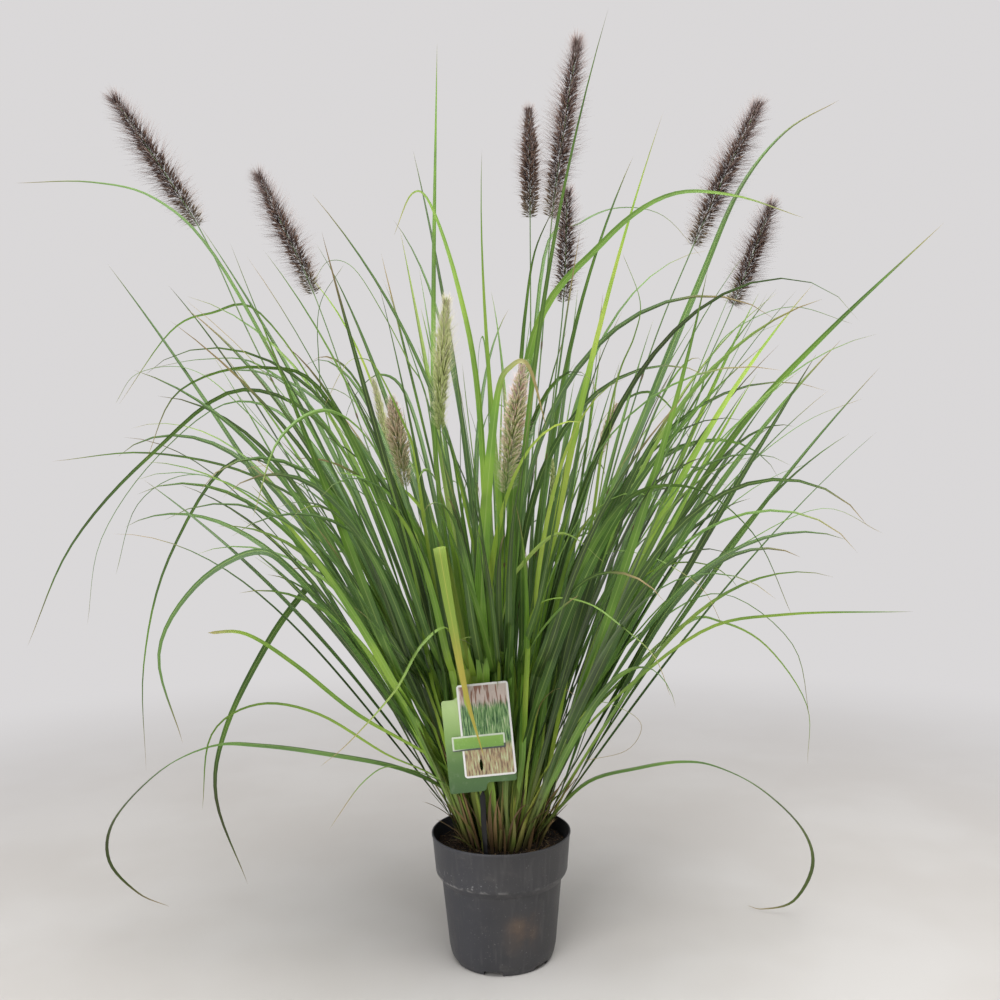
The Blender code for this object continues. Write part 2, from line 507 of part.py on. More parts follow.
def main():
    clear_scene()
    parts = new_collection("potted_fountain_grass")
    cutters = new_collection("cutters")
    pot(parts, cutters, new_material("pot_plastic", (0.07, 0.072, 0.08), 0.6))
    soil(parts, new_material("peat_soil", (0.03, 0.02, 0.013), 0.95))
    tiller_bundle(parts, new_material("sheaths", (0.20, 0.28, 0.07), 0.6))
    blade_material = new_material("leaf_green", (0.10, 0.23, 0.045), 0.5)
    for name, (width, *points) in LEAVES.items():
        leaf(name, width, points, parts, blade_material)
    culm_material = new_material("culm_green", (0.22, 0.30, 0.10), 0.5)
    ripe_material = new_material("ripe_spike", (0.10, 0.055, 0.05), 0.8)
    young_material = new_material("young_spike", (0.45, 0.42, 0.28), 0.8)
    for name, (spike_length, young, *points) in CULMS.items():
        culm_and_spike(name, spike_length, young, points, parts, culm_material,
                       young_material if young else ripe_material)
    label(parts, new_material("stake_plastic", (0.02, 0.02, 0.02), 0.5),
          new_material("label_green", (0.25, 0.42, 0.12), 0.4),
          new_material("label_picture", (0.45, 0.42, 0.33), 0.3))


main()
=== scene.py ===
# %% [markdown]
# # Fountain grass in a nursery pot
#
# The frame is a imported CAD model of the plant: a thin pot, its soil, a crown of shoots, thirty
# long leaves, twelve flower stems and a plant label. The frame settles where everything is and
# how big it is. This script gives each of those pieces its finished shape and surface, and adds
# what a frame is too coarse to hold, such as the several hundred further leaves and the bristles.

import json
import math
import random

import bmesh
import bpy
import numpy as np
from mathutils import Matrix, Vector, noise

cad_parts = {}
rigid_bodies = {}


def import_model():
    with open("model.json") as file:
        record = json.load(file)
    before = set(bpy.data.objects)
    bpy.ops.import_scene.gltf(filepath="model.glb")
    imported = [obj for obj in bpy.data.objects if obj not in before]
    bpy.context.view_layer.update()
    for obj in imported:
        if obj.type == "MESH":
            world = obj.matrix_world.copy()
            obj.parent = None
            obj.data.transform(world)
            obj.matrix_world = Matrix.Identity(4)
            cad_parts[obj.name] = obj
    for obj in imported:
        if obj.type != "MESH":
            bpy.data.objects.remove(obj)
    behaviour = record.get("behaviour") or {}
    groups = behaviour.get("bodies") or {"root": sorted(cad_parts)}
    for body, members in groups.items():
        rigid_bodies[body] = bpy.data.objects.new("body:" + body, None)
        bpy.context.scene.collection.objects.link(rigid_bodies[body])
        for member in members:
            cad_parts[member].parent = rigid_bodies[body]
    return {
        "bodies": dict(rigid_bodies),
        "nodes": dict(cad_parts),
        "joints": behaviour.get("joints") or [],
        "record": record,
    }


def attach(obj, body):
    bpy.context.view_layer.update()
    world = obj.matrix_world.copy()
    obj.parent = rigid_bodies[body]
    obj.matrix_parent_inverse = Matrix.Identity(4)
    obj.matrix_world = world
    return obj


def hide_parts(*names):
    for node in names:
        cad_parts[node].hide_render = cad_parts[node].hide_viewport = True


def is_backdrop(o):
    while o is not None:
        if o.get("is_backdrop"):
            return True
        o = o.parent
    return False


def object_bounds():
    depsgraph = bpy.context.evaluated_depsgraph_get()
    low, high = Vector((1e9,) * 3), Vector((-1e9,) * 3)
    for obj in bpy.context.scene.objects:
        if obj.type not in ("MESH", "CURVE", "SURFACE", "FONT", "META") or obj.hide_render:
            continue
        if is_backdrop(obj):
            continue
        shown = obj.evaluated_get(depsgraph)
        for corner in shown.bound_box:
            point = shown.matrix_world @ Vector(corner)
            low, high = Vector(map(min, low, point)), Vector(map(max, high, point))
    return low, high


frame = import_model()
frame_low, frame_high = (Vector(corner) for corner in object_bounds())
print("frame box", [round(v, 4) for v in (*frame_low, *frame_high)])

# %% [markdown]
# ## Camera, floor and light
#
# A plant this wide is shown from a little over a metre away, level with its middle. The light is
# what a grower's lamp booth gives: a bright, even surround with one broad lamp overhead, so that
# the inside of the clump goes dark from the light and no leaf throws a hard shadow; near the crown
# the leaves and shoots also carry painted shade. The floor's colour runs into the surround's colour
# away from the pot, which leaves no horizon behind the leaves.

# %% Camera
SURROUND = (0.70, 0.685, 0.69)
UNSEEN_SURROUND = 0.37       # how strongly it lights the plant, as a share of how bright it looks


def placed(name, data):
    """An object with this data, in the scene."""
    made = bpy.data.objects.new(name, data)
    bpy.context.scene.collection.objects.link(made)
    return made


camera = placed("booth_camera", bpy.data.cameras.new("booth_camera"))
camera.data.lens = 36.0
camera.data.sensor_width = 36.0
camera.location = (0.006, -1.37, 0.655)
camera.rotation_euler = (math.radians(88.8), math.radians(0.9), 0.0)
bpy.context.scene.camera = camera
bpy.context.scene.view_settings.view_transform = "Standard"
print("camera", tuple(round(v, 3) for v in camera.location))


# %% Lamps and surround
def broad_lamp(name, place, aim, size, watts):
    """A square area lamp that faces a point."""
    lamp = placed(name, bpy.data.lights.new(name, "AREA"))
    lamp.data.size = size
    lamp.data.energy = watts
    lamp.location = place
    lamp.rotation_euler = (Vector(aim) - Vector(place)).to_track_quat("-Z", "Y").to_euler()
    print(name, "at", place, watts, "W")


broad_lamp("overhead_lamp", (0.3, -0.7, 2.7), (0.0, 0.0, 0.5), 2.4, 90)
broad_lamp("front_lamp", (-1.4, -2.6, 1.5), (0.0, 0.0, 0.6), 1.8, 44)

world = bpy.data.worlds.new("surround")
world.use_nodes = True
surround = world.node_tree.nodes["Background"]
surround.inputs["Color"].default_value = (*SURROUND, 1.0)
seen = world.node_tree.nodes.new("ShaderNodeLightPath")
strength = world.node_tree.nodes.new("ShaderNodeMapRange")
strength.inputs["To Min"].default_value = UNSEEN_SURROUND
world.node_tree.links.new(seen.outputs["Is Camera Ray"], strength.inputs["Value"])
world.node_tree.links.new(strength.outputs["Result"], surround.inputs["Strength"])
bpy.context.scene.world = world


# %% [markdown]
# ## Helpers for materials
#
# Every surface here is drawn by nodes, and short helpers keep the node code readable: `node` adds a
# node and wires whatever is handed to it, and `layered` lays one colour over another through a
# mask. Effects that several materials share are node groups: `blotches` for soft uneven patches,
# `fine_lines` for the parallel veins of a grass blade, and `dust_and_grain` for moulded or dug-up
# surfaces.

# %% Node helpers
def node(tree, kind, values=None, **settings):
    """Add a node; an input that is given another node's output is wired to it."""
    made = tree.nodes.new(kind)
    for name, value in settings.items():
        setattr(made, name, value)
    for name, value in (values or {}).items():
        socket = made.inputs[name]
        if isinstance(value, bpy.types.NodeSocket):
            tree.links.new(value, socket)
        else:
            socket.default_value = (*value, 1.0) if socket.type == "RGBA" else value
    return made


def sum_of(tree, operation, first, second=0.5, third=0.5):
    """One step of arithmetic on values."""
    values = {0: first, 1: second, 2: third}
    return node(tree, "ShaderNodeMath", values, operation=operation).outputs[0]


def product(tree, first, *others):
    """Two or more values multiplied, such as masks that must all let through."""
    for other in others:
        first = sum_of(tree, "MULTIPLY", first, other)
    return first


def between(tree, value, low, high):
    """0 at low and below, 1 at high and above, smooth between."""
    made = node(tree, "ShaderNodeMapRange", {"Value": value, "From Min": low, "From Max": high},
                interpolation_type="SMOOTHSTEP")
    return made.outputs["Result"]


def band(tree, value, start, full, fading, end):
    """1 from full to fading, 0 before start and after end."""
    return product(tree, between(tree, value, start, full), between(tree, value, end, fading))


def mixed(tree, share, first, second):
    """The colour between two, by a share from 0 to 1."""
    values = {0: share, 6: first, 7: second}
    return node(tree, "ShaderNodeMix", values, data_type="RGBA", clamp_factor=True).outputs[2]


def layered(tree, tone, *layers):
    """Colours laid over a tone one after another, each as its mask, its strength and its colour."""
    for mask, strength, colour in layers:
        tone = mixed(tree, product(tree, mask, strength), tone, colour)
    return tone


def ramp(tree, value, *stops):
    """Colours at given values, blended in between."""
    made = node(tree, "ShaderNodeValToRGB", {0: value})
    elements = made.color_ramp.elements
    while len(elements) < len(stops):
        elements.new(0.5)
    for element, (position, colour) in zip(elements, stops):
        element.position = position
        element.color = (*colour, 1.0)
    return made.outputs["Color"]


def own_place(tree):
    """Where a point of the piece is."""
    return node(tree, "ShaderNodeTexCoord").outputs["Object"]


def axes_of(tree, place):
    """A place's X, Y and Z."""
    return node(tree, "ShaderNodeSeparateXYZ", {0: place}).outputs


def mapped(tree, place, scale, turn=0.0, shift=(0.0, 0.0, 0.0)):
    """A place stretched, turned about Y and shifted, to draw a pattern out in one direction."""
    values = {"Vector": place, "Scale": scale, "Rotation": (0.0, turn, 0.0), "Location": shift}
    return node(tree, "ShaderNodeMapping", values).outputs[0]


def noise_at(tree, place, scale=1.0, **more):
    """Cloudy noise."""
    values = {"Vector": place, "Scale": scale, **more}
    return node(tree, "ShaderNodeTexNoise", values).outputs["Fac"]


def attribute(tree, name):
    """A number that the piece's own mesh carries."""
    return node(tree, "ShaderNodeAttribute", attribute_name=name).outputs["Fac"]


def new_group(name, inputs, *outputs):
    """An empty node group with float inputs and outputs, its first and last nodes in place."""
    tree = bpy.data.node_groups.new(name, "ShaderNodeTree")
    for socket, value in inputs.items():
        made = tree.interface.new_socket(socket, in_out="INPUT", socket_type="NodeSocketFloat")
        made.default_value = value
    for socket in outputs:
        tree.interface.new_socket(socket, in_out="OUTPUT", socket_type="NodeSocketFloat")
    return tree, node(tree, "NodeGroupInput").outputs, node(tree, "NodeGroupOutput").inputs


def use(tree, group, **values):
    """Place a node group in a material."""
    values = {name.replace("_", " "): value for name, value in values.items()}
    return node(tree, "ShaderNodeGroup", values, node_tree=group).outputs


def new_material(name, roughness=0.5, specular=0.5):
    """A material with one Principled shader; returns it and its tree."""
    material = bpy.data.materials.new(name)
    material.use_nodes = True
    shader = material.node_tree.nodes["Principled BSDF"]
    shader.inputs["Roughness"].default_value = roughness
    shader.inputs["Specular IOR Level"].default_value = specular
    return material, material.node_tree


def surface(tree, tone, rough=None, relief=None):
    """Wire a material's colour, its roughness (mask, span, least) and its relief (height, distance,
    strength) to its shader."""
    shader = tree.nodes["Principled BSDF"]
    tree.links.new(tone, shader.inputs["Base Color"])
    if rough:
        tree.links.new(sum_of(tree, "MULTIPLY_ADD", *rough), shader.inputs["Roughness"])
    if relief:
        bump = node(tree, "ShaderNodeBump", dict(zip(("Height", "Distance", "Strength"), relief)))
        tree.links.new(bump.outputs["Normal"], shader.inputs["Normal"])


# %% Shared effects
blotches, given, out = new_group("blotches", {"Scale": 20.0, "Low": 0.4, "High": 0.6}, "Mask")
cloud = noise_at(blotches, own_place(blotches), given["Scale"], Detail=3.0)
blotches.links.new(between(blotches, cloud, given["Low"], given["High"]), out["Mask"])

fine_lines, given, out = new_group("fine_lines", {"Across": 0.0, "Along": 0.0, "Seed": 0.0, "Lines": 9.0},
                                   "Line", "Rib")
tree = fine_lines
drift = sum_of(tree, "MULTIPLY_ADD", given["Seed"], 90.0, product(tree, given["Along"], 7.0))
wander = node(tree, "ShaderNodeTexNoise", {"W": drift, "Scale": 1.0}, noise_dimensions="1D")
turns = product(tree, given["Across"], product(tree, given["Lines"], math.pi))
wave = sum_of(tree, "SINE", sum_of(tree, "ADD", turns, wander.outputs["Fac"]))
tree.links.new(between(tree, wave, -0.6, 0.9), out["Line"])
tree.links.new(between(tree, sum_of(tree, "ABSOLUTE", given["Across"]), 0.16, 0.04), out["Rib"])

dust_and_grain, given, out = new_group("dust_and_grain", {"Grain Scale": 900.0, "Dust Scale": 60.0},
                                       "Grain", "Dust")
tree = dust_and_grain
tree.links.new(noise_at(tree, own_place(tree), given["Grain Scale"], Detail=2.0), out["Grain"])
dust = noise_at(tree, own_place(tree), given["Dust Scale"], Detail=6.0, Roughness=0.7)
tree.links.new(between(tree, dust, 0.52, 0.72), out["Dust"])


def blotched(tree, scale, low, high):
    """A mask of soft patches."""
    return use(tree, blotches, Scale=scale, Low=low, High=high)["Mask"]


def grain_and_dust(tree, grain_scale, dust_scale):
    """A height for fine grain, and a mask of dust."""
    return use(tree, dust_and_grain, Grain_Scale=grain_scale, Dust_Scale=dust_scale).values()


print("shared effects:", blotches.name, fine_lines.name, dust_and_grain.name)

# %% Floor
FLOOR_RADIUS = 7.0

floor_material, tree = new_material("booth_floor", 0.75, 0.2)
away = node(tree, "ShaderNodeVectorMath", {0: own_place(tree)}, operation="LENGTH").outputs["Value"]
surface(tree, mixed(tree, blotched(tree, 3.0, 0.35, 0.7), (0.60, 0.575, 0.55), (0.64, 0.62, 0.60)))
glow = node(tree, "ShaderNodeEmission", {"Color": SURROUND})
fade = node(tree, "ShaderNodeMixShader", {0: between(tree, away, 0.7, 2.2), 2: glow.outputs[0],
                                          1: tree.nodes["Principled BSDF"].outputs[0]})
tree.links.new(fade.outputs[0], tree.nodes["Material Output"].inputs["Surface"])

bm = bmesh.new()
bmesh.ops.create_circle(bm, cap_ends=True, segments=96, radius=FLOOR_RADIUS)
floor = placed("booth_floor", bpy.data.meshes.new("booth_floor"))
bm.to_mesh(floor.data)
bm.free()
floor.data.materials.append(floor_material)
floor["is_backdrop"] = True
print("floor radius", FLOOR_RADIUS, "m")


# %% [markdown]
# ## Helpers for pieces
#
# `piece_from` turns a bmesh into a finished piece that rides on the frame's one body, and hides
# the frame nodes it stands for. `scatter` sets out copies of one small shape. A bottle-brush
# spike has thousands of bristles, and copying the points of each by hand would be slow, so Geometry
# Nodes does it: each point of a cloud carries a turn, a size and a few numbers, Instance on Points
# reads them, and Realize Instances makes one plain mesh of the result.

# %% Piece helpers
def triangles_in(mesh):
    """How many triangles a mesh draws."""
    return sum(len(face.vertices) - 2 for face in mesh.polygons)


def mesh_from(bm, name, crease=None):
    """Mesh data from a bmesh, smooth but for edges sharper than crease degrees."""
    mesh = bpy.data.meshes.new(name)
    bm.to_mesh(mesh)
    bm.free()
    mesh.shade_smooth()
    if crease:
        mesh.set_sharp_from_angle(angle=math.radians(crease))
    return mesh


def piece_from(name, mesh, material, slot, *stands_for):
    """A finished piece of the plant."""
    mesh.materials.clear()
    mesh.materials.append(material)
    piece = placed(name, mesh)
    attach(piece, "root")
    if stands_for:
        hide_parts(*stands_for)
    print(f"{name}: {triangles_in(mesh)} triangles")
    return piece


def baked(obj, name):
    """The mesh that an object's modifiers make, with the object itself gone."""
    bpy.context.view_layer.update()
    evaluated = obj.evaluated_get(bpy.context.evaluated_depsgraph_get())
    mesh = bpy.data.meshes.new_from_object(evaluated)
    mesh.name = name
    bpy.data.objects.remove(obj, do_unlink=True)
    return mesh


def cut_from(mesh, cutter_mesh, name):
    """A mesh with the cutter's shape taken out of it."""
    body, cutter = placed(name, mesh), placed("cutter", cutter_mesh)
    cut = body.modifiers.new("cut", "BOOLEAN")
    cut.operation = "DIFFERENCE"
    cut.solver = "EXACT"
    cut.object = cutter
    made = baked(body, name)
    bpy.data.objects.remove(cutter, do_unlink=True)
    made.shade_smooth()
    made.set_sharp_from_angle(angle=math.radians(35.0))
    return made


def section_wire(bm, section):
    """An outline of (radius, height) points as a chain of edges."""
    points = [bm.verts.new((radius, 0.0, height)) for radius, height in section]
    return [*points, *(bm.edges.new(pair) for pair in zip(points, points[1:]))]


def spin_round(bm, geom, steps):
    """Spin an outline round the upright axis into a closed body."""
    bmesh.ops.spin(bm, geom=geom, cent=(0.0, 0.0, 0.0), axis=(0.0, 0.0, 1.0), angle=2.0 * math.pi,
                   steps=steps, use_merge=True)
    bmesh.ops.remove_doubles(bm, verts=bm.verts, dist=0.000001)
    bmesh.ops.recalc_face_normals(bm, faces=bm.faces)


# %% Copies of a small shape
copier = bpy.data.node_groups.new("set_out_copies", "GeometryNodeTree")
copier.interface.new_socket("Points", in_out="INPUT", socket_type="NodeSocketGeometry")
shape_socket = copier.interface.new_socket("Shape", in_out="INPUT", socket_type="NodeSocketObject")
copier.interface.new_socket("Copies", in_out="OUTPUT", socket_type="NodeSocketGeometry")
given = node(copier, "NodeGroupInput").outputs
turn = node(copier, "GeometryNodeInputNamedAttribute", {"Name": "turn"}, data_type="QUATERNION")
size = node(copier, "GeometryNodeInputNamedAttribute", {"Name": "size"}, data_type="FLOAT_VECTOR")
shape = node(copier, "GeometryNodeObjectInfo", {"Object": given["Shape"]})
set_out = node(copier, "GeometryNodeInstanceOnPoints", {
    "Points": given["Points"], "Instance": shape.outputs["Geometry"],
    "Rotation": turn.outputs["Attribute"], "Scale": size.outputs["Attribute"]})
solid = node(copier, "GeometryNodeRealizeInstances", {"Geometry": set_out.outputs["Instances"]})
node(copier, "NodeGroupOutput", {"Copies": solid.outputs["Geometry"]})


def turns_to(directions):
    """Quaternions that turn +Z to each direction."""
    x, y, z = directions.T
    turns = np.stack([1.0 + z, -y, x, np.zeros_like(x)], axis=1)
    turns[z < -0.9999] = (0.0, 1.0, 0.0, 0.0)
    return turns / np.linalg.norm(turns, axis=1, keepdims=True)


def scatter(name, shape_mesh, places, turns, sizes, **numbers):
    """One mesh of copies of a shape; numbers are carried by every point of a copy."""
    cloud = bpy.data.meshes.new(name)
    cloud.vertices.add(len(places))
    cloud.vertices.foreach_set("co", np.asarray(places, np.float32).ravel())
    cloud.attributes.new("turn", "QUATERNION", "POINT").data.foreach_set(
        "value", np.asarray(turns, np.float32).ravel())
    cloud.attributes.new("size", "FLOAT_VECTOR", "POINT").data.foreach_set(
        "vector", np.asarray(sizes, np.float32).ravel())
    for word, values in numbers.items():
        numbers_of = cloud.attributes.new(word, "FLOAT", "POINT").data
        numbers_of.foreach_set("value", np.asarray(values, np.float32))
    shape_object, points = placed("small_shape", shape_mesh), placed(name, cloud)
    modifier = points.modifiers.new("copies", "NODES")
    modifier.node_group = copier
    modifier[shape_socket.identifier] = shape_object
    mesh = baked(points, name)
    for word in ("turn", "size"):
        if word in mesh.attributes:
            mesh.attributes.remove(mesh.attributes[word])
    bpy.data.objects.remove(shape_object, do_unlink=True)
    return mesh


# %% [markdown]
# ## The pot
#
# A nursery pot is vacuum-drawn or moulded from thin recycled plastic: a plain band below the rim,
# a sloping step that lets pots stack, a tapering wall, and a foot ring with notches for drainage.
# It is round, so its wall is drawn once as a closed outline, the corners of that outline are
# rounded, and the outline is spun. The notches and the drain holes are then cut with a Boolean,
# which is simpler than leaving gaps in the spun faces.

# %% Pot outline
POT_WALL = (                 # radius and height, up the outside from the middle of the underside
    (0.0, 0.0), (0.027, 0.0), (0.028, 0.004), (0.0575, 0.004), (0.0585, 0.0), (0.0665, 0.0),
    (0.0705, 0.007), (0.0733, 0.020), (0.0822, 0.109), (0.0903, 0.119), (0.0947, 0.168),
    (0.0955, 0.169), (0.0955, 0.172), (0.0933, 0.172), (0.0933, 0.168), (0.0889, 0.119),
    (0.0808, 0.109), (0.0719, 0.020), (0.0687, 0.0055), (0.0, 0.0055),
)
POT_ROUNDING = {             # how far to round each corner, by its number in the outline
    4: 0.0006, 5: 0.0012, 6: 0.003, 7: 0.003, 8: 0.0016, 9: 0.003, 12: 0.0007, 13: 0.0007, 15: 0.003,
    16: 0.003}

bm = bmesh.new()
outline = bm.faces.new([bm.verts.new((radius, 0.0, height)) for radius, height in POT_WALL])
corners = list(outline.verts)
for i, offset in POT_ROUNDING.items():
    bmesh.ops.bevel(bm, geom=[corners[i]], offset=offset, offset_type="OFFSET", segments=4, profile=0.5,
                    affect="VERTICES", material=-1)
bmesh.ops.delete(bm, geom=list(bm.faces), context="FACES_ONLY")
axis_edges = [e for e in bm.edges if all(v.co.x < 0.000001 for v in e.verts)]
bmesh.ops.delete(bm, geom=axis_edges, context="EDGES")
spin_round(bm, [*bm.verts, *bm.edges], 128)
pot_mesh = mesh_from(bm, "pot_body")
print("pot spun from", len(POT_WALL), "corners")

# %% Notches and drain holes
NOTCHES = DRAINS = 6
NOTCH_SIZE = (0.030, 0.026, 0.0136)

bm = bmesh.new()
for i in range(NOTCHES):
    turn = Matrix.Rotation(math.radians(-101.0 + 360.0 / NOTCHES * i), 4, "Z")
    made = bmesh.ops.create_cube(bm, size=1.0, matrix=turn @ Matrix.Translation((0.0665, 0.0, 0.0))
                                 @ Matrix.Diagonal((*NOTCH_SIZE, 1.0)))["verts"]
    upper = [e for e in {e for v in made for e in v.link_edges}
             if all(v.co.z > 0.0 for v in e.verts)
             and abs((turn.inverted() @ (e.verts[0].co - e.verts[1].co)).y) < 0.001]
    bmesh.ops.bevel(bm, geom=upper, offset=0.002, segments=3, profile=0.5, affect="EDGES", material=-1)
for i in range(DRAINS):
    turn = Matrix.Rotation(math.radians(-71.0 + 360.0 / DRAINS * i), 4, "Z")
    bmesh.ops.create_cone(bm, cap_ends=True, segments=24, radius1=0.0045, radius2=0.0045, depth=0.03,
                          matrix=turn @ Matrix.Translation((0.044, 0.0, 0.0)))
bmesh.ops.recalc_face_normals(bm, faces=bm.faces)
pot_mesh = cut_from(pot_mesh, mesh_from(bm, "pot_cutter"), "pot_body")
print(NOTCHES, "notches and", DRAINS, "drain holes cut")

# %% [markdown]
# The plastic is a matt blue-grey, never quite even: rubbed pale where the next pot sat on the step
# below the band, with faint runs down the wall, fine specks, and a brown water stain low down. Its
# left side, towards the front lamp, carries a painted sheen, lighter and bluer. The marks are masks
# made from the height and the side of the pot, broken up by noise.

# %% Pot plastic
pot_plastic, tree = new_material("pot_plastic", 0.55, 0.5)
place = own_place(tree)
x, y, z = axes_of(tree, place)
grain, dust = grain_and_dust(tree, 1400.0, 45.0)
cloudy = blotched(tree, 14.0, 0.3, 0.7)
runs = noise_at(tree, mapped(tree, place, (160.0, 160.0, 5.0)), Detail=2.0)
specks = noise_at(tree, place, 420.0, Detail=1.0)
left_side = between(tree, x, 0.015, -0.045)
scuffed = product(tree, band(tree, z, 0.1165, 0.1190, 0.1195, 0.1225), blotched(tree, 95.0, 0.46, 0.66),
                  sum_of(tree, "MULTIPLY_ADD", left_side, 0.45, 0.15))
rubbed = product(tree, blotched(tree, 190.0, 0.60, 0.68), band(tree, z, 0.1195, 0.1225, 0.128, 0.140),
                 left_side)
stain = product(tree, band(tree, z, 0.020, 0.060, 0.070, 0.095), band(tree, x, -0.005, 0.022, 0.032, 0.055),
                blotched(tree, 45.0, 0.20, 0.85), between(tree, y, 0.0, -0.03))
tone = layered(
    tree, mixed(tree, cloudy, (0.030, 0.030, 0.034), (0.045, 0.044, 0.047)),
    # Painted sheen: the pot's left side, towards the front lamp, is drawn lighter and bluer.
    (between(tree, x, 0.01, -0.06), 0.35, (0.055, 0.060, 0.080)),
    (between(tree, runs, 0.52, 0.70), 0.30, (0.085, 0.083, 0.085)),
    (between(tree, specks, 0.70, 0.76), 0.5, (0.17, 0.165, 0.16)),
    (rubbed, 0.5, (0.36, 0.36, 0.37)), (scuffed, 1.0, (0.42, 0.41, 0.40)),
    (stain, 0.42, (0.20, 0.115, 0.055)), (dust, 0.10, (0.22, 0.20, 0.18)))
surface(tree, tone, (scuffed, 0.25, sum_of(tree, "MULTIPLY_ADD", cloudy, 0.12, 0.40)), (grain, 0.00015, 0.5))
piece_from("pot_body", pot_mesh, pot_plastic, "pot_plastic", "pot")

# %% [markdown]
# ## The soil
#
# Peat compost is a lumpy, fibrous surface: crumbs of peat, short brown roots and bits of straw. The
# filling is spun from its section like the pot, with closely set rings on top, and noise lifts
# those rings into lumps and hollows. Crumbs are then scattered over it as copies of one small shape
# and fibres as short thin rods, most of them near the rim, where the crown leaves the soil bare.

# %% Soil filling
SOIL_TOP = 0.155


def soil_height(x, y):
    """Height of the lumpy surface at a place."""
    away = math.hypot(x, y)
    dome = 0.003 * max(0.0, 1.0 - away / 0.075)
    lumps = 0.0024 * noise.noise(Vector((x * 60.0, y * 60.0, 0.3)))
    crumbs = 0.0013 * noise.noise(Vector((x * 210.0, y * 210.0, 4.1)))
    return SOIL_TOP + dome + lumps + crumbs - 0.0015 * max(0.0, (away - 0.078) / 0.0118)


bm = bmesh.new()
section = [(0.0885 * i / 44.0, SOIL_TOP) for i in range(45)]
section += [(0.0880, 0.1190), (0.0800, 0.1095), (0.0712, 0.0215), (0.0680, 0.0062), (0.0, 0.0062)]
spin_round(bm, section_wire(bm, section), 150)
for vertex in bm.verts:
    if vertex.co.z > 0.15:
        vertex.co.z = soil_height(vertex.co.x, vertex.co.y)

peat, tree = new_material("peat_soil", 0.9, 0.25)
grain, dust = grain_and_dust(tree, 700.0, 160.0)
damp = blotched(tree, 55.0, 0.35, 0.65)
tone = layered(tree, mixed(tree, damp, (0.006, 0.004, 0.003), (0.020, 0.012, 0.008)),
               (dust, 0.6, (0.075, 0.040, 0.022)))
surface(tree, tone, (damp, 0.2, 0.75), (grain, 0.0008, 1.0))
piece_from("soil_filling", mesh_from(bm, "soil_filling"), peat, "peat_soil", "soil")

# %% Crumbs of peat
CRUMBS = 1500

bm = bmesh.new()
bmesh.ops.create_icosphere(bm, subdivisions=1, radius=0.5)
for vertex in bm.verts:
    vertex.co *= 1.0 + 0.35 * noise.noise(vertex.co * 5.0)
crumb = mesh_from(bm, "crumb")
dice = np.random.default_rng(3)
away = 0.089 * np.sqrt(dice.uniform(0.12, 1.0, CRUMBS))
around = dice.uniform(0.0, 2.0 * math.pi, CRUMBS)
x, y = away * np.cos(around), away * np.sin(around)
z = np.array([soil_height(a, b) for a, b in zip(x, y)])
sizes = dice.uniform(0.6, 1.3, (CRUMBS, 3)) * (0.0012 + 0.0032 * dice.beta(1.2, 4.0, (CRUMBS, 1)))
turns = dice.normal(size=(CRUMBS, 4))
turns /= np.linalg.norm(turns, axis=1, keepdims=True)
crumbs = scatter("soil_crumbs", crumb, np.stack([x, y, z], 1), turns, sizes, seed=dice.uniform(0, 1, CRUMBS))

crumb_peat, tree = new_material("peat_crumbs", 0.95, 0.2)
grain, dust = grain_and_dust(tree, 900.0, 300.0)
tone = ramp(tree, attribute(tree, "seed"), (0.0, (0.006, 0.005, 0.004)), (0.55, (0.022, 0.013, 0.009)),
            (0.85, (0.060, 0.032, 0.018)), (1.0, (0.13, 0.085, 0.045)))
surface(tree, layered(tree, tone, (dust, 0.4, (0.09, 0.055, 0.03))), None, (grain, 0.0005, 1.0))
piece_from("soil_crumbs", crumbs, crumb_peat, "peat_soil")


# %% [markdown]
# ## Routes
#
# Leaves and stems are long thin things, so each is first a line in space: a few points, the same
# ones the frame was made with, and a smooth curve through them. The tables give whole millimetres,
# which are easier to read than metres. Here the lines also run on down to the soil, inside the
# crown, where the frame stops short of it. `frames_along` gives the blade's own directions at each
# step, carried along without any sudden roll.

